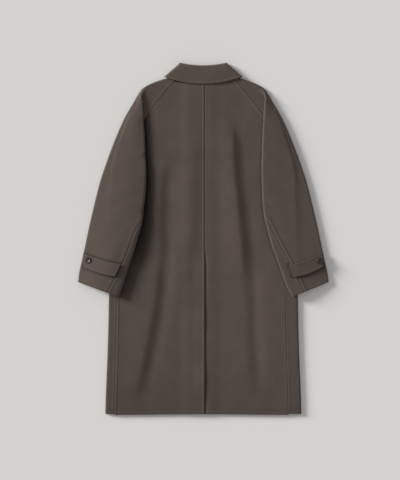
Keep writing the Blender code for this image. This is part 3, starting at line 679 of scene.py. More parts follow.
def sleeve_front_grid(side):
    """A sleeve's front half under the arm, from its raglan or under seam to the overarm seam."""
    rows = []
    last_seam = len(FRONT_SEAM_YS) - 1
    for i, row in enumerate(SLEEVE_ROWS):
        outer = point_on(SLEEVE_OUTLINE, row["y_outer"])
        start = front_start(i)
        low = front_level(outer[0], outer[1], "left")
        radius = row["r_outer"] or (back_level(outer[0], outer[1], side, False) - low) / 2
        end = outer - (radius + OVERARM_IN) * unit(outer - start)

        def height(t, p):
            if i > last_seam:
                return arm_level(p[0], p[1])
            curl = 1.6 if i == last_seam else 0.0
            return front_level(p[0], p[1], "left") + curl * (1 - float(smooth(0, 0.8, t)))

        section = [(*start, height(0, start))] + run(start, end, height, 30) + [(*end, low)]
        rows.append(spread(section, 0, -SEAM_GAP / 2, NARROW_COLUMNS))
    for row in close_rows(ARM_ROWS):
        section = ring_section(row, side)
        seam = seam_distance(section, row[side])
        rows.append(spread(section, seam + SEAM_GAP, -SEAM_GAP / 2, NARROW_COLUMNS))
    return flowing(np.array(rows))


def hem_height(x):
    """Height of the hem, a little lower at the sides."""
    return HEM_MIDDLE + (HEM_SIDE - HEM_MIDDLE) * float(smooth(0, 300, abs(x)))


def back_grid(side):
    """A back from its raglan and side seams in to its centre edge, from neck to hem."""
    rows = []
    for y in BACK_NECK - stations(BACK_LENGTH, END_STEPS, EDGE_STEPS, int(BACK_LENGTH / ROW_STEP)):
        if y > UNDERARM[1]:
            edge = along(BACK_RAGLAN, y) - RAGLAN_ASIDE[0]
        else:
            edge = along(SIDE_SEAM[side], y) - SEAM_GAP / 2
        start = -CENTRE_EDGE
        hidden = []
        if side == "right":
            under = SEAM_ALLOWANCE + (VENT_UNDERLAP - SEAM_ALLOWANCE) * float(smooth(-22, -50, y))
            start = CENTRE_EDGE - UNDER_EDGE
            hidden = [CENTRE_EDGE - under + (under - UNDER_EDGE) * f for f in (0, 0.3, 0.6, 0.85)]
        line = []
        for x in hidden + list(start + stations(edge - start, EDGE_STEPS, EDGE_STEPS, BACK_COLUMNS)):
            here = y - NECK_DIP * float(smooth(440, BACK_NECK, y)) * (1 - (x / edge) ** 2)
            if y < HEM_FROM:
                here += (hem_height(x) - HEM_LEVEL) * float(smooth(HEM_FROM, HEM_LEVEL, y))
            line.append((x, here, back_level(x, here, side)))
        rows.append(line[::-1])
    return np.array(rows)


def front_grid(side):
    """A front from its centre edge, flat below, round the side fold and up to the side seam."""
    rows = []
    for y in FRONT_SEAM_YS + FRONT_SIDE_YS:
        inner_y = y
        if y > FRONT_EVEN:
            share = (y - FRONT_EVEN) / (FRONT_SEAM_TOP - FRONT_EVEN)
            inner_y = FRONT_EVEN + share * (FRONT_EDGE_TOP - FRONT_EVEN)
        folded = y <= FRONT_TURN
        if folded:
            reach = along(BODY_SIDE, y)
            radius = (back_level(reach - 6, y, side, False) - FRONT_Z) / 2
            flat_end = reach - radius
        else:
            reach = front_seam_point(FRONT_SEAM_YS.index(y), False)[0]
            flat_end = reach
        last_flat = flat_end - (0 if folded else 4.2)
        points = []
        for x in list(np.linspace(-FRONT_LAP, 64, 40)) + list(np.linspace(64, last_flat, 60)[1:]):
            here = inner_y + (y - inner_y) * min((max(x, 0) / reach) ** 2.2, 1)
            if y < FRONT_HEM_FROM:
                here = hem_height(x) + FRONT_HEM_SHORT
            points.append((x, here, front_level(x, here, side)))
        if y < FRONT_HEM_FROM:
            y = hem_height(reach) + FRONT_HEM_SHORT
        if folded:
            turn = 180.0 * float(smooth(282, 244, y)) if y > FRONT_ROUND else 180.0
            points += arc((flat_end, y, FRONT_Z + radius), (1, 0), radius, -90, -90 + turn, 12)[1:]
            if y <= FRONT_ROUND:
                seam = along(SIDE_SEAM[side], y) + SEAM_GAP / 2
                xs = [flat_end + (seam - flat_end) * f for f in np.linspace(0, 1, 12)[1:]]
                points += [(x, y, back_level(x, y, side)) for x in xs]
        else:
            points += [(x, y, front_level(x, y, side)) for x in np.linspace(last_flat, flat_end, 5)[1:]]
        rows.append(spread(points, 0, 0, WIDE_COLUMNS))
    return flowing(np.array(rows))


def rounded(values, marks):
    """Smooth curve through a short list of numbers, read at marks from 0 to 1."""
    values = np.asarray(values, float)
    last = len(values) - 1
    slopes = np.gradient(values)
    i = np.minimum((last * marks).astype(int), last - 1)
    return bend(last * marks - i, values[i], values[i + 1], slopes[i], slopes[i + 1])


def collar_point(row, share):
    """A point of the collar; share runs from 0 at the back's middle to 1 at the front's."""
    radius = (row["z_back"] - row["z_front"]) / 2
    straight = row["x_side"] - radius
    if share <= COLLAR_BACK_END:
        x = straight * share / COLLAR_BACK_END
        z = row["z_back"]
    elif share < COLLAR_FRONT_BEGIN:
        angle = math.pi * (share - COLLAR_BACK_END) / (COLLAR_FRONT_BEGIN - COLLAR_BACK_END)
        x = straight + radius * math.sin(angle)
        z = row["z_front"] + radius + radius * math.cos(angle)
    else:
        t = (share - COLLAR_FRONT_BEGIN) / (1 - COLLAR_FRONT_BEGIN)
        x = straight + (row["x_end"] - straight) * t
        z = row["z_front"]
    back_y = row["y_back"] + (row["y_side"] - row["y_back"]) * (x / row["x_side"]) ** 2
    reach = min(max(x - row["foot"], 0) / (straight - row["foot"]), 1)
    front_y = row["y_front"] + (row["y_side"] - row["y_front"]) * reach ** row["power"]
    blend = float(smooth(COLLAR_BACK_END, COLLAR_FRONT_BEGIN, share))
    return (x, back_y + (front_y - back_y) * blend, max(z, HALF + 0.05))


def collar_grid():
    """The collar's sections from one front point round the neck to the other."""
    marks = np.concatenate([np.linspace(0, 0.94, 44), 1 - 0.06 * (1 - np.linspace(0, 1, 9)[1:])])
    columns = {key: rounded([row[key] for row in COLLAR_ROWS], marks) for key in COLLAR_ROWS[0]}
    sections = [{key: columns[key][i] for key in columns} for i in range(len(marks))]
    shares = np.concatenate([np.linspace(0, COLLAR_BACK_END, 36),
                             np.linspace(COLLAR_BACK_END, COLLAR_FRONT_BEGIN, 24)[1:],
                             np.linspace(COLLAR_FRONT_BEGIN, 1, 44)[1:]])
    half = np.array([[collar_point(section, share) for section in sections] for share in shares])
    return np.concatenate([half[::-1] * (-1, 1, 1), half[1:]])


def tab_hang(side, t, v):
    """How far a tab hangs at t along it and v down it, both from 0 to 1."""
    return TAB_SAG[side] * 4 * t * (1 - t) * mix(TAB_UPPER_SHARE[side], 1, v)


def tab_grid(side):
    """A cuff tab laid over the sleeve's top, its outer end on the rolled edge."""
    tab = TABS[side]
    rows = []
    for v in (0, 1 / 3, 2 / 3, 1):
        outer = mix(tab["outer_top"], tab["outer_low"], v)
        inner = mix(tab["inner_top"], tab["inner_low"], v)
        line = []
        for t in np.linspace(0, 1, 13):
            x, y = mix(outer, inner, t)
            y -= tab_hang(side, t, v)
            line.append((x, y, sleeve_top(side, x, y) + TAB_LIFT))
        rows.append(line)
    across = flowing(np.array(rows), TAB_STEPS, TAB_STEPS)
    return flowing(across.transpose(1, 0, 2), TAB_STEPS, TAB_STEPS).transpose(1, 0, 2)


def sleeve_top(side, x, y):
    """Height of the middle of a sleeve's top layer near the cuff."""
    nearest = None
    for lower, upper in zip(ARM_ROWS[7:], ARM_ROWS[6:-1]):
        for t in np.linspace(0, 1, 21):
            row = between(upper, lower, t)
            outer = point_on(SLEEVE_OUTLINE, row["y_outer"])
            inner = point_on(INNER_FOLD[side], row["y_inner"])
            share = (outer[0] - x) / (outer[0] - inner[0])
            miss = abs(outer[1] + (inner[1] - outer[1]) * share - y)
            if nearest is None or miss < nearest[0]:
                nearest = (miss, outer, inner, row)
    _, outer, inner, row = nearest
    length = np.linalg.norm(inner - outer)
    reach = float(np.dot(np.array([x, y]) - outer, unit(inner - outer)))
    r = row["r_outer"]
    high = arm_level(inner[0], inner[1])
    edge = along(BODY_SIDE, (row["y_outer"] + row["y_inner"]) / 2)
    share = float(np.clip((reach - r) / (length - r - inner_radius(row, side)), 0, 1))
    z = top_height(row, side, outer, (x, y), share, FRONT_Z, high, edge)
    if reach < r:
        z -= r - math.sqrt(max(r * r - (r - max(reach, 0)) ** 2, 0))
    return z


def facing(grid):
    """Which way the outside of the cloth faces at each point."""
    across = np.gradient(grid, axis=1)
    down = np.gradient(grid, axis=0)
    normal = np.cross(across, down)
    return normal / np.maximum(np.linalg.norm(normal, axis=2), 1e-9)[..., None]


def edge_distances(grid):
    """Distance of each point from the panel's first and last columns and its first and last rows."""
    across = np.linalg.norm(np.diff(grid, axis=1), axis=2)
    down = np.linalg.norm(np.diff(grid, axis=0), axis=2)
    near = np.pad(across.cumsum(1), ((0, 0), (1, 0)))
    top = np.pad(down.cumsum(0), ((1, 0), (0, 0)))
    return {"near": near, "far": near[:, -1:] - near, "top": top, "bottom": top[-1:] - top}


def bell(distance, width):
    """1 at no distance, falling away on both sides over about a width."""
    return np.exp(-((distance / width) ** 2))


def rolled(distance):
    """The cloth's edge going down into a seam."""
    return -0.3 * smooth(2.2, 0.0, distance)


def stitched(distance, inset, pad):
    """The seam allowance's padded strip beside a seam, and the line sunk by its topstitching."""
    strip = pad * smooth(0.2, 2.8, distance) * smooth(inset + 2.6, inset - 1.4, distance)
    return strip - 0.12 * bell(distance - inset, 1.4)


def tab_press_and_shade(grid, side):
    """1 along the lines where a cuff tab's edges press into the sleeve and painted shade is laid beside
    them, fading over a few millimetres.
    """
    where = grid[..., :2]
    press_and_shade = np.zeros(grid.shape[:2])
    for first, last in TAB_LINES[side]:
        a, b = np.array(TABS[side][first], float), np.array(TABS[side][last], float)
        share = np.clip(((where - a) @ (b - a)) / ((b - a) @ (b - a)), 0, 1)
        nearest = a + share[..., None] * (b - a)
        nearest[..., 1] -= tab_hang(side, share, 0 if first == "outer_top" else 1)
        press_and_shade = np.maximum(press_and_shade, bell(np.linalg.norm(where - nearest, axis=2), 5.0))
    return press_and_shade


def hemmed(distance, inset):
    """A hem's edge, and the line sunk by its topstitching."""
    return 0.8 * rolled(distance) - 0.35 * bell(distance - inset, 1.4)


def seam_shade_and_highlight(distance, painted_highlight):
    """Painted shade down in a seam, and a painted highlight on the ridge beside it."""
    return 1 - 0.12 * bell(distance, 1.3) + painted_highlight * bell(distance - 4.4, 2.6)


def hem_tone(y):
    """A little darker towards the hem."""
    return 1 - 0.13 * smooth(-330, -560, y)


def painted_crevice_shade(grid, side):
    """Painted shade on the back down beside a sleeve's inner fold, and on the left a little painted light
    just past it.
    """
    x, y = grid[..., 0], grid[..., 1]
    beyond = np.maximum(curve(INNER_FOLD[side], y) - x, 0)
    width = curve(CREVICE_SHADE_WIDTH[side], y)
    near = np.exp(-((beyond / width) ** 2.4))
    rise = 0.0
    if side == "left":
        rise = 0.11 * bell(beyond - 2.6 * width, 0.9 * width) * smooth(140, 240, y)
    return 1 - (curve(CREVICE_SHADE_DEPTH[side], y) * near - rise) * smooth(-225, -165, y) * smooth(488, 455, y)


def sleeve_painted_light(grid, side):
    """Painted light on the right sleeve, which turns from the light towards its outline: its colour is
    lighter all over and more so there.
    """
    if side == "left":
        return 1.0
    x, y = grid[..., 0], grid[..., 1]
    inner, outer = curve(INNER_FOLD[side], y), curve(SLEEVE_OUTLINE, y)
    return 1.04 + 0.12 * smooth(0.25, 0.75, (x - inner) / np.maximum(outer - inner, 20))


def vent_lift(distance, y):
    """How the vent's upper edge stands off the cloth below it, mostly in two places."""
    lift = VENT_LIFT + sum(more * bell(y - middle, reach) for middle, reach, more in VENT_LIFTS)
    lift = lift * smooth(VENT_TOP + 15, VENT_TOP - 60, y)
    return lift * smooth(46, 3, distance) * smooth(HEM_MIDDLE + 4, HEM_MIDDLE + 60, y)


def unevenness(grid, seed):
    """Slight waves that felted wool keeps when it is laid out."""
    waves = np.zeros(grid.shape[:2])
    for index in np.ndindex(waves.shape):
        x, y = grid[index][:2]
        waves[index] = 0.55 * noise.noise(Vector((x / 95, y / 150, seed)))
        waves[index] += 0.16 * noise.noise(Vector((x / 24, y / 40, seed + 9)))
    return waves


def folds_on(piece, grid):
    """Height of the named piece's soft ridges and troughs at each point."""
    height = np.zeros(grid.shape[:2])
    x, y = grid[..., 0], grid[..., 1]
    for fold in FOLDS:
        if fold["piece"] != piece:
            continue
        off = x - curve(fold["line"], y)
        if piece.endswith("left"):
            off = -off
        width = np.where(off < 0, fold["left"], fold["right"])
        ends = smooth(fold["top"], fold["top"] - fold["fade"], y)
        ends = ends * smooth(fold["bottom"], fold["bottom"] + fold["fade"], y)
        height += fold["height"] * ends * np.exp(-(np.abs(off / width) ** fold["power"]))
    return height


def raised(grid, height):
    """Move the cloth along its own outside, never below the surface it lies on."""
    result = grid + facing(grid) * height[..., None]
    result[..., 2] = np.maximum(result[..., 2], HALF + 0.03)
    return result


def upper_side(grid):
    """1 where the cloth's outside faces up, 0 where it faces down."""
    return smooth(-0.1, 0.5, facing(grid)[..., 2])


def line_beside(grid, inset, edge):
    """Points and outward directions on a panel at an even distance from one of its edges."""
    if edge in ("top", "bottom"):
        grid = grid.transpose(1, 0, 2)
        normal = -facing(grid)
    else:
        normal = facing(grid)
    if edge in ("far", "bottom"):
        grid, normal = grid[:, ::-1], normal[:, ::-1]
    points, ways = [], []
    for row, way in zip(grid, normal):
        lengths = lengths_along(row)
        points.append(read_at(inset, lengths, row))
        ways.append(read_at(inset, lengths, way))
    return np.array(points), np.array(ways)


def mesh_of(name, shape):
    """The mesh of a bmesh shape, which is used up."""
    mesh = bpy.data.meshes.new(name)
    shape.to_mesh(mesh)
    shape.free()
    return mesh


def placed(name, data):
    """A new object of the scene."""
    item = bpy.data.objects.new(name, data)
    bpy.context.scene.collection.objects.link(item)
    return item


def cloth_piece(name, grid, side, thickness, tone_and_painted_light):
    """One panel as a shell of even thickness with softened cut edges."""
    rows, columns = grid.shape[:2]
    sign = SIGN[side]
    lengths = edge_distances(grid)
    shell = bmesh.new()
    bmesh.ops.create_grid(shell, x_segments=columns - 1, y_segments=rows - 1, size=0.5)
    uv = shell.loops.layers.uv.new("cloth")
    shade = shell.verts.layers.float.new("tone_and_painted_light")
    place = {}
    for vertex in shell.verts:
        row, column = round((0.5 - vertex.co.y) * (rows - 1)), round((vertex.co.x + 0.5) * (columns - 1))
        place[vertex] = (row, column)
        x, y, z = grid[row, column]
        vertex.co = (sign * x * MM, y * MM, z * MM)
        vertex[shade] = float(tone_and_painted_light[row, column])
    for face in shell.faces:
        face.smooth = True
        for loop in face.loops:
            at = place[loop.vert]
            loop[uv].uv = (lengths["near"][at] * MM, -lengths["top"][at] * MM)
    piece = placed(name, mesh_of(name, shell))
    wall = piece.modifiers.new("Wall", "SOLIDIFY")
    wall.thickness = thickness
    wall.offset = 0.0
    rim = piece.modifiers.new("Rim", "BEVEL")
    rim.width = RIM_WIDTH * MM
    rim.segments = 2
    rim.limit_method = "ANGLE"
    rim.angle_limit = math.radians(55)
    return piece


def stitch_piece(name, side, lines):
    """Rows of topstitching as one mesh; each line is (points, outward directions)."""
    _, sewing, _ = settings()
    sign = SIGN[side]
    one = bmesh.new()
    bmesh.ops.create_uvsphere(one, u_segments=6, v_segments=5, radius=0.5)
    one.verts.index_update()
    shape = np.array([vertex.co for vertex in one.verts])
    shape *= (sewing.thread_width, sewing.thread_width, sewing.stitch_length)
    faces = [[vertex.index for vertex in face.verts] for face in one.faces]
    one.free()
    corners, polygons = [], []
    for points, ways in lines:
        lengths = lengths_along(points)
        for i in range(int(lengths[-1] * MM / sewing.stitch_pitch)):
            mark = (i + 0.5) * sewing.stitch_pitch / MM
            here = read_at(mark, lengths, points)
            along_way = unit(read_at(mark + 0.5, lengths, points) - here)
            up = unit(read_at(mark, lengths, ways))
            turned = shape @ np.array([unit(np.cross(up, along_way)), up, along_way])
            polygons += [[index + len(corners) * len(shape) for index in face] for face in faces]
            corners.append(turned + (here + up * (HALF + 0.1)) * MM)
    corners = np.vstack(corners) * (sign, 1, 1)
    corners[:, 2] = np.maximum(corners[:, 2], 0.0)
    mesh = bpy.data.meshes.new(name)
    mesh.from_pydata(corners.tolist(), [], polygons)
    if sign < 0:
        mesh.flip_normals()
    mesh.shade_smooth()
    piece = placed(name, mesh)
    mesh.materials.append(shared("topstitching", thread_material, sewing.thread))
    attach(piece, "root")
    return piece


def sew(node, side, grid, tone_and_painted_light, lines, wool="melton", thickness=None):
    """Make a panel's shell and stitches, named after the part they stand for, and hide that part."""
    cloth = bpy.context.scene.coat_cloth
    piece = cloth_piece("cloth_" + node, grid, side, thickness or cloth.wall, tone_and_painted_light)
    piece.data.materials.append(shared(wool, wool_material, cloth))
    stitching = [stitch_piece("stitches_" + node, side, lines)]
    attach(piece, "root")
    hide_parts(node)
    lengths = edge_distances(grid)
    across = np.linalg.norm(np.cross(np.diff(grid, axis=1)[:-1], np.diff(grid, axis=0)[:, :-1]), axis=2)


def node_in(tree, kind, label, **values):
    """Add a shader node and set its unlinked sockets by name."""
    item = tree.nodes.new(kind)
    item.label = label
    for key, value in values.items():
        item.inputs[key.replace("_", " ")].default_value = value
    return item


def add_up(tree, first, second, weight, label):
    """first + second * weight"""
    item = node_in(tree, "ShaderNodeMath", label)
    item.operation = "MULTIPLY_ADD"
    tree.links.new(second, item.inputs[0])
    item.inputs[1].default_value = weight
    if isinstance(first, float):
        item.inputs[2].default_value = first
    else:
        tree.links.new(first, item.inputs[2])
    return item.outputs[0]


def new_surface(name, **values):
    """A material with its shader's plain values set; returns it with its nodes and shader."""
    surface = bpy.data.materials.new(name)
    surface.use_nodes = True
    tree = surface.node_tree
    shader = tree.nodes["Principled BSDF"]
    for key, value in values.items():
        shader.inputs[key.replace("_", " ")].default_value = value
    return surface, tree, shader


def shades_of(tree, factor, label, dark, light, start=0.0, end=1.0):
    """A ramp from a dark to a light colour, read by a factor."""
    ramp = node_in(tree, "ShaderNodeValToRGB", label)
    for element, colour, position in zip(ramp.color_ramp.elements, (dark, light), (start, end)):
        element.position = position
        element.color = (*colour, 1)
    tree.links.new(factor, ramp.inputs["Fac"])
    return ramp.outputs["Color"]


def bumped(tree, shader, height, label, strength, distance):
    """Fine relief on a surface, worked out from a height."""
    bump = node_in(tree, "ShaderNodeBump", label, Strength=strength, Distance=distance)
    tree.links.new(height, bump.inputs["Height"])
    tree.links.new(bump.outputs["Normal"], shader.inputs["Normal"])


def wool_material(name, cloth):
    """Dense melton: short felted fibres over a fine twill, its colour darkened and lightened by the
    painted shade and light of the tone attribute.
    """
    surface, tree, shader = new_surface(name, Roughness=0.92, Specular_IOR_Level=0.12,
                                        Sheen_Weight=cloth.nap, Sheen_Roughness=0.5,
                                        Sheen_Tint=(0.86, 0.78, 0.72, 1))
    uv = tree.nodes.new("ShaderNodeUVMap")
    uv.uv_map = "cloth"
    fibre = node_in(tree, "ShaderNodeTexNoise", "fibres", Scale=950.0, Detail=3.0, Roughness=0.62)
    felt = node_in(tree, "ShaderNodeTexNoise", "felted tufts", Scale=190.0, Detail=3.0, Roughness=0.6,
                   Distortion=0.4)
    cloud = node_in(tree, "ShaderNodeTexNoise", "pressed patches", Scale=17.0, Detail=2.0, Roughness=0.5)
    twill = node_in(tree, "ShaderNodeTexWave", "twill lines", Scale=185.0, Distortion=1.6, Detail=1.0)
    twill.wave_type = "BANDS"
    twill.bands_direction = "DIAGONAL"
    for item in (fibre, felt, cloud, twill):
        tree.links.new(uv.outputs["UV"], item.inputs["Vector"])
    light = -0.19
    for item, weight, label in ((fibre, 0.52, "fibre shade"), (felt, 0.46, "tuft shade"),
                                (cloud, 0.30, "patch shade"), (twill, 0.10, "twill shade")):
        light = add_up(tree, light, item.outputs["Fac"], weight, label)
    colour = shades_of(tree, light, "wool colours", cloth.deep, cloth.light)
    # Painted shade and painted light from the panel's tone attribute scale the wool's colour.
    tone_and_painted_light = tree.nodes.new("ShaderNodeAttribute")
    tone_and_painted_light.attribute_name = "tone_and_painted_light"
    tinted = tree.nodes.new("ShaderNodeVectorMath")
    tinted.operation = "MULTIPLY"
    tree.links.new(colour, tinted.inputs[0])
    tree.links.new(tone_and_painted_light.outputs["Fac"], tinted.inputs[1])
    tree.links.new(tinted.outputs[0], shader.inputs["Base Color"])
    height = 0.0
    for item, weight, label in ((fibre, 0.5, "fibre height"), (felt, 0.8, "tuft height"),
                                (twill, 0.25, "twill height")):
        height = add_up(tree, height, item.outputs["Fac"], weight, label)
    bumped(tree, shader, height, "nap", 0.6, 0.0005)
    return surface


def thread_material(name, colour):
    """Matt sewing thread with a faint twist."""
    surface, tree, shader = new_surface(name, Roughness=0.6, Specular_IOR_Level=0.3)
    where = tree.nodes.new("ShaderNodeTexCoord")
    twist = node_in(tree, "ShaderNodeTexNoise", "twist", Scale=2400.0, Detail=2.0)
    tree.links.new(where.outputs["Object"], twist.inputs["Vector"])
    shades = shades_of(tree, twist.outputs["Fac"], "thread colours", [c * 0.7 for c in colour],
                       [c * 1.25 for c in colour])
    tree.links.new(shades, shader.inputs["Base Color"])
    bumped(tree, shader, twist.outputs["Fac"], "plies", 0.5, 0.0002)
    return surface


def horn_material(name, cloth):
    """Polished horn, nearly black, with paler streaks."""
    surface, tree, shader = new_surface(name, Roughness=0.42, Coat_Weight=0.05, Coat_Roughness=0.2)
    where = tree.nodes.new("ShaderNodeTexCoord")
    stretch = node_in(tree, "ShaderNodeMapping", "grain along the horn", Scale=(260.0, 900.0, 500.0))
    tree.links.new(where.outputs["Object"], stretch.inputs["Vector"])
    streaks = node_in(tree, "ShaderNodeTexNoise", "streaks", Scale=1.0, Detail=4.0, Distortion=1.2)
    tree.links.new(stretch.outputs[0], streaks.inputs["Vector"])
    shades = shades_of(tree, streaks.outputs["Fac"], "horn colours", cloth.horn,
                       [c * 3.2 for c in cloth.horn], 0.35, 0.8)
    tree.links.new(shades, shader.inputs["Base Color"])
    return surface


class CoatCloth(bpy.types.PropertyGroup):
    wall: FloatProperty(name="Cloth thickness", description="Thickness of the melton", default=0.0024,
                        min=0.001, max=0.003, unit="LENGTH")
    tab_wall: FloatProperty(name="Tab thickness",
                            description="Thickness of a cuff tab with both its layers",
                            default=0.0042, min=0.002, max=0.005, unit="LENGTH")
    deep: FloatVectorProperty(name="Deep wool", description="Colour down between the fibres",
                              subtype="COLOR", default=(0.050, 0.0395, 0.0335), min=0, max=1)
    light: FloatVectorProperty(name="Light wool", description="Colour of the fibres on top",
                               subtype="COLOR", default=(0.130, 0.103, 0.088), min=0, max=1)
    nap: FloatProperty(name="Nap", description="How much the raised fibres catch the light", default=0.18,
                       min=0, max=1, subtype="FACTOR")
    horn: FloatVectorProperty(name="Horn", description="Colour of the buttons", subtype="COLOR",
                              default=(0.016, 0.012, 0.010), min=0, max=1)


class CoatSewing(bpy.types.PropertyGroup):
    stitch_pitch: FloatProperty(name="Stitch pitch", description="From one stitch to the next",
                                default=0.0042, min=0.002, max=0.01, unit="LENGTH")
    stitch_length: FloatProperty(name="Stitch length", description="Thread that shows in each stitch",
                                 default=0.0033, min=0.001, max=0.009, unit="LENGTH")
    thread_width: FloatProperty(name="Thread width", description="Width of the topstitching thread",
                                default=0.0008, min=0.0003, max=0.002, unit="LENGTH")
    thread: FloatVectorProperty(name="Thread", description="Colour of the thread", subtype="COLOR",
                                default=(0.062, 0.049, 0.042), min=0, max=1)
    seam_inset: FloatProperty(name="Seam topstitch",
                              description="From the raglan and sleeve seams to their stitches",
                              default=0.0095, min=0.002, max=0.02, unit="LENGTH")
    edge_inset: FloatProperty(name="Edge topstitch",
                              description="From the collar, vent and cuff edges to their stitches",
                              default=0.006, min=0.002, max=0.02, unit="LENGTH")
    hem_inset: FloatProperty(name="Hem topstitch", description="From the hem to its stitches",
                             default=0.0155, min=0.005, max=0.04, unit="LENGTH")


class CoatStage(bpy.types.PropertyGroup):
    floor: FloatVectorProperty(name="Floor", description="Colour of the studio floor", subtype="COLOR",
                               default=(0.80, 0.793, 0.782), min=0, max=1)
    key_strength: FloatProperty(name="Key light", description="Strength of the light from the upper left",
                                default=4.67, min=0, max=20)
    key_height: FloatProperty(name="Key height", description="Angle of the key light above the floor",
                              default=math.radians(16), min=0, max=1.57, subtype="ANGLE")
    key_turn: FloatProperty(name="Key turn", description="Angle of the key light up from the coat's left",
                            default=math.radians(24), min=-3.14, max=3.14, subtype="ANGLE")
    key_softness: FloatProperty(name="Key softness", description="Angle that the key light fills",
                                default=math.radians(17), min=0, max=3.14, subtype="ANGLE")
    sky_strength: FloatProperty(name="Soft box", description="Strength of the light from all round",
                                default=0.41, min=0, max=5)
    camera_distance: FloatProperty(name="Camera distance",
                                   description="Height of the camera above the floor",
                                   default=5.0, min=1, max=20, unit="LENGTH")


def settings():
    scene = bpy.context.scene
    return scene.coat_cloth, scene.coat_sewing, scene.coat_stage


def shared(name, make, *values):
    """The named material, made once."""
    return bpy.data.materials.get(name) or make(name, *values)


class COAT_OT_backs(bpy.types.Operator):
    """Makes the two back panels with the centre seam, vent and hem"""

    bl_idname = "coat.backs"
    bl_label = "Backs"

    def execute(self, context):
        _, sewing, _ = settings()
        seam, edge, hem = 0.8 * sewing.seam_inset / MM, sewing.edge_inset / MM, sewing.hem_inset / MM
        for side in SIDES:
            grid = back_grid(side)
            d = edge_distances(grid)
            y = grid[..., 1]
            below = smooth(246, 238, y)
            height = rolled(d["near"]) + below * stitched(d["near"], seam, 0.4)
            height += hemmed(d["bottom"], hem)
            # Painted shade in the seams and beside the sleeve's fold, painted highlights on the seam
            # ridges and painted light over the right back; darker towards the hem.
            tone_and_painted_light = seam_shade_and_highlight(d["near"], 0.10 * below) * hem_tone(y) * painted_crevice_shade(grid, side)
            tone_and_painted_light *= seam_shade_and_highlight(d["far"], CENTRE_PAINTED_HIGHLIGHT[side]) * BACK_PAINTED_LIGHT[side]
            if side == "left":
                height += rolled(d["far"]) + stitched(d["far"], edge, 0.9) + vent_lift(d["far"], y)
            height += unevenness(grid, BACK_WAVES[side]) * smooth(0, 30, d["far"])
            height += folds_on("back_" + side, grid)
            grid = raised(grid, height)
            lines = [line_beside(grid[y[:, 0] < 240], seam, "near"), line_beside(grid, hem, "bottom")]
            if side == "left":
                lines.append(line_beside(grid, edge, "far"))
            sew("back_" + side, side, grid, tone_and_painted_light, lines)
        return {"FINISHED"}


class COAT_OT_fronts(bpy.types.Operator):
    """Makes the two fronts, which lie under the coat and wrap round to the side seams"""

    bl_idname = "coat.fronts"
    bl_label = "Fronts"

    def execute(self, context):
        _, sewing, _ = settings()
        edge, hem = sewing.edge_inset / MM, sewing.hem_inset / MM
        for side in SIDES:
            grid = front_grid(side)
            d = edge_distances(grid)
            y = grid[..., 1]
            height = rolled(d["near"]) + stitched(d["near"], edge, 0.3) + rolled(d["far"])
            height += smooth(262, 240, y) * stitched(d["far"], edge, 0.4)
            height += hemmed(d["bottom"], hem)
            # Painted shade in the side seam with a painted highlight beside it, and darker towards the
            # hem.
            tone_and_painted_light = seam_shade_and_highlight(d["far"], 0.08) * hem_tone(y)
            grid = raised(grid, height)
            lines = [line_beside(grid, edge, "near"), line_beside(grid, hem, "bottom")]
            sew("front_" + side, side, grid, tone_and_painted_light, lines, "melton_fronts")
        return {"FINISHED"}


class COAT_OT_sleeves(bpy.types.Operator):
    """Makes the raglan sleeves, folded in over the back, with their seams and cuff edges"""

    bl_idname = "coat.sleeves"
    bl_label = "Sleeves"

    def execute(self, context):
        _, sewing, _ = settings()
        seam, edge = sewing.seam_inset / MM, sewing.edge_inset / MM
        for side in SIDES:
            for half, grid in (("back_", sleeve_back_grid(side)), ("front_", sleeve_front_grid(side))):
                d = edge_distances(grid)
                up = upper_side(grid)
                press_and_shade = up * tab_press_and_shade(grid, side)
                height = rolled(d["near"]) + rolled(d["far"]) + 0.7 * rolled(d["bottom"])
                height += stitched(d["bottom"], edge, 0.4) - 1.6 * press_and_shade
                # Painted shade along the cuff tabs' edges, where the sleeve is also pressed in; below,
                # painted shade and highlight by the seams and painted light on the right sleeve.
                tone_and_painted_light = 1 - 0.5 * press_and_shade
                if half == "back_":
                    height += stitched(d["far"], seam, 0.7)
                    waves = unevenness(grid, SLEEVE_WAVES[side])
                    height += up * (waves + folds_on("sleeve_" + side, grid))
                    tone_and_painted_light = tone_and_painted_light * seam_shade_and_highlight(d["far"], 0.11) * sleeve_painted_light(grid, side)
                else:
                    height += smooth(150, 90, grid[..., 1]) * stitched(d["near"], 0.8 * seam, 0.6)
                    tone_and_painted_light = tone_and_painted_light * seam_shade_and_highlight(d["near"], 0.11)
                grid = raised(grid, height)
                lines = [line_beside(grid, edge, "bottom")]
                if half == "back_":
                    lines.insert(0, line_beside(grid, seam, "far"))
                sew("sleeve_" + half + side, side, grid, tone_and_painted_light, lines)
        return {"FINISHED"}


class COAT_OT_collar(bpy.types.Operator):
    """Makes the collar with its stand, roll and fall, and the stitching round its edge"""

    bl_idname = "coat.collar"
    bl_label = "Collar"

    def execute(self, context):
        _, sewing, _ = settings()
        edge = sewing.edge_inset / MM
        grid = collar_grid()
        d = edge_distances(grid)
        up = upper_side(grid)
        x, y = grid[..., 0], grid[..., 1]
        height = 0.6 * rolled(d["far"]) + stitched(d["far"], edge, 0.9)
        for ends in ("top", "bottom"):
            height += 0.6 * rolled(d[ends]) + stitched(d[ends], edge, 0.25)
        for drop, depth in ((9.5, 0.8), (16.5, 0.6)):
            roll_line = 568.0 + 6.0 * (x / 76) ** 2 - drop
            height -= up * depth * bell(y - roll_line, 2.0) * smooth(72, 52, np.abs(x))
        height += up * 0.6 * unevenness(grid, 21.0)
        grid = raised(grid, height)
        lines = [line_beside(grid, edge, name) for name in ("far", "top", "bottom")]
        # Painted light makes the collar's colour lighter all over, with painted shade in its edge and a
        # painted highlight on the rim beside it.
        sew("collar", "right", grid, 1.11 * seam_shade_and_highlight(d["far"], 0.2), lines)
        return {"FINISHED"}


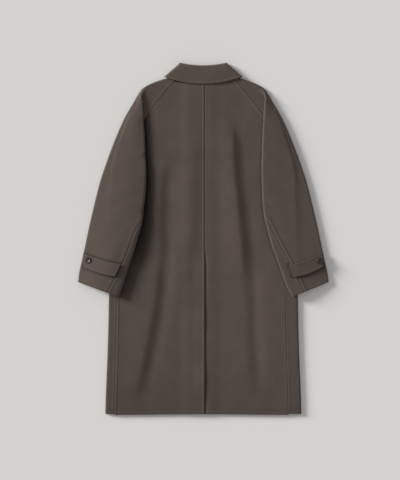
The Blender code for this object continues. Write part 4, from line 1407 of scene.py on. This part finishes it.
class COAT_OT_cuffs(bpy.types.Operator):
    """Makes the cuff tabs and their four-hole buttons"""

    bl_idname = "coat.cuffs"
    bl_label = "Cuff tabs and buttons"

    def execute(self, context):
        cloth, sewing, _ = settings()
        inset = 0.8 * sewing.edge_inset / MM
        extra = (cloth.tab_wall - cloth.wall) / 2 / MM
        inside = slice(4, -4)
        for side in SIDES:
            grid = tab_grid(side)
            d = edge_distances(grid)
            nearest = np.minimum(np.minimum(d["near"], d["far"]), np.minimum(d["top"], d["bottom"]))
            grid = raised(grid, 0.5 * rolled(nearest) + stitched(nearest, inset, 0.4))
            lines = []
            for edge in ("near", "far", "top", "bottom"):
                points, ways = line_beside(grid, inset, edge)
                lines.append((points[inside] + ways[inside] * extra, ways[inside]))
            # Painted shade along the tab's edges and a painted highlight just inside them.
            sew("cuff_tab_" + side, side, grid, seam_shade_and_highlight(nearest, 0.12), lines,
                thickness=cloth.tab_wall)
            self.button(side)
        return {"FINISHED"}

    def button(self, side):
        """A turned disc with a rim, a sunk middle and four holes, sewn on with two bars of thread."""
        cloth, sewing, _ = settings()
        x, y = BUTTONS[side]
        sign = SIGN[side]
        tilt = math.atan2(sleeve_top(side, x - 8, y) - sleeve_top(side, x + 8, y), 16)
        z = sleeve_top(side, x, y) + TAB_LIFT + BUTTON_LIFT * math.cos(tilt)
        centre = Vector((sign * (x + math.sin(tilt) * BUTTON_LIFT), y, z)) * MM
        stand = Matrix.Translation(centre) @ Matrix.Rotation(sign * tilt, 4, "Y")
        piece = placed("button_" + side, mesh_of("button_" + side, self.disc()))
        cutter = placed("holes", mesh_of("holes", self.holes()))
        cut = piece.modifiers.new("Holes", "BOOLEAN")
        cut.object = cutter
        cut.solver = "EXACT"
        done = bpy.data.meshes.new_from_object(piece.evaluated_get(bpy.context.evaluated_depsgraph_get()))
        piece.modifiers.clear()
        piece.data = done
        bpy.data.objects.remove(cutter, do_unlink=True)
        done.transform(stand)
        done.materials.clear()
        done.materials.append(shared("dark_horn", horn_material, cloth))
        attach(piece, "root")
        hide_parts("cuff_button_" + side)
        threads = placed("button_thread_" + side, mesh_of("button_thread_" + side, self.bars(stand)))
        threads.data.materials.append(shared("topstitching", thread_material, sewing.thread))
        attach(threads, "root")

    def disc(self):
        """The button's half section spun round its axis."""
        disc = bmesh.new()
        corners = [disc.verts.new((r * MM, 0, h * MM)) for r, h in BUTTON_PROFILE]
        edges = [disc.edges.new(pair) for pair in zip(corners, corners[1:])]
        bmesh.ops.spin(disc, geom=corners + edges, cent=(0, 0, 0), axis=(0, 0, 1), angle=2 * math.pi,
                       steps=40, use_merge=True)
        bmesh.ops.remove_doubles(disc, verts=disc.verts, dist=1e-6)
        bmesh.ops.recalc_face_normals(disc, faces=disc.faces)
        for face in disc.faces:
            face.smooth = True
        return disc

    def holes(self):
        """Four pegs that cut a button's holes."""
        holes = bmesh.new()
        for turn in (45, 135, 225, 315):
            at = Matrix.Rotation(math.radians(turn), 4, "Z") @ Matrix.Translation((2.5 * MM, 0, 1.6 * MM))
            bmesh.ops.create_cone(holes, cap_ends=True, segments=14, radius1=1.0 * MM, radius2=1.0 * MM,
                                  depth=8 * MM, matrix=at)
        return holes

    def bars(self, stand):
        """Two bars of thread, of three strands each, between a button's holes."""
        bars = bmesh.new()
        turn = Matrix.Rotation(math.radians(90), 4, "Y")
        size = Matrix.Diagonal((0.45 * MM, 0.36 * MM, 2.5 * MM, 1))
        for offset in (-1.77, 1.77):
            for strand in (-0.55, 0.0, 0.55):
                at = Matrix.Translation(Vector((0, offset + strand, 1.85)) * MM)
                bmesh.ops.create_uvsphere(bars, u_segments=8, v_segments=8, radius=1.0,
                                          matrix=stand @ at @ turn @ size)
        for face in bars.faces:
            face.smooth = True
        return bars


class COAT_OT_stage(bpy.types.Operator):
    """Makes the pale floor, the soft lights and the camera straight above"""

    bl_idname = "coat.stage"
    bl_label = "Stage"

    def execute(self, context):
        stage = context.scene.coat_stage
        ground = bmesh.new()
        bmesh.ops.create_grid(ground, x_segments=2, y_segments=2, size=FLOOR_HALF)
        mesh = mesh_of("studio_floor", ground)
        mesh.transform(Matrix.Translation((0, 0, -FLOOR_DROP)))
        surface, _, _ = new_surface("studio_floor", Base_Color=(*stage.floor, 1), Roughness=1.0,
                                    Specular_IOR_Level=0.0)
        mesh.materials.append(surface)
        floor = placed("studio_floor", mesh)
        key = bpy.data.lights.new("key", "SUN")
        key.energy = stage.key_strength
        key.angle = stage.key_softness
        key.color = (1.0, 0.985, 0.965)
        flat = math.cos(stage.key_height)
        source = Vector((-flat * math.cos(stage.key_turn), flat * math.sin(stage.key_turn),
                         math.sin(stage.key_height)))
        placed("key", key).rotation_euler = source.to_track_quat("Z", "Y").to_euler()
        world = bpy.data.worlds.new("soft_box")
        world.use_nodes = True
        sky = world.node_tree.nodes["Background"]
        sky.inputs["Color"].default_value = (1.0, 1.0, 1.0, 1)
        sky.inputs["Strength"].default_value = stage.sky_strength
        context.scene.world = world
        context.scene.view_settings.view_transform = "Standard"
        eye = bpy.data.cameras.new("camera")
        eye.lens = eye.sensor_width * (stage.camera_distance - FOCUS_HEIGHT) / (FRAME_HEIGHT * MM)
        eye.clip_end = 100.0
        camera = placed("camera", eye)
        camera.location = (FRAME_CENTRE[0] * MM, FRAME_CENTRE[1] * MM, stage.camera_distance)
        context.scene.camera = camera
        return {"FINISHED"}


class COAT_PT_panel(bpy.types.Panel):
    """Sizes, colours and steps of the coat"""

    bl_idname = "COAT_PT_panel"
    bl_label = "Balmacaan coat"
    bl_space_type = "VIEW_3D"
    bl_region_type = "UI"
    bl_category = "Coat"

    def draw(self, context):
        for group in settings():
            box = self.layout.box()
            for name in group.__annotations__:
                box.prop(group, name)
        for operator in OPERATORS:
            self.layout.operator(operator.bl_idname)


OPERATORS = (COAT_OT_backs, COAT_OT_fronts, COAT_OT_sleeves, COAT_OT_collar, COAT_OT_cuffs, COAT_OT_stage)
CLASSES = (CoatCloth, CoatSewing, CoatStage) + OPERATORS + (COAT_PT_panel,)


def register():
    for item in CLASSES:
        bpy.utils.register_class(item)
    bpy.types.Scene.coat_cloth = PointerProperty(type=CoatCloth)
    bpy.types.Scene.coat_sewing = PointerProperty(type=CoatSewing)
    bpy.types.Scene.coat_stage = PointerProperty(type=CoatStage)


def unregister():
    del bpy.types.Scene.coat_stage
    del bpy.types.Scene.coat_sewing
    del bpy.types.Scene.coat_cloth
    for item in reversed(CLASSES):
        bpy.utils.unregister_class(item)


def main():
    register()
    bpy.ops.coat.backs()
    bpy.ops.coat.fronts()
    bpy.ops.coat.sleeves()
    bpy.ops.coat.collar()
    bpy.ops.coat.cuffs()
    bpy.ops.coat.stage()


if __name__ == "__main__":
    main()
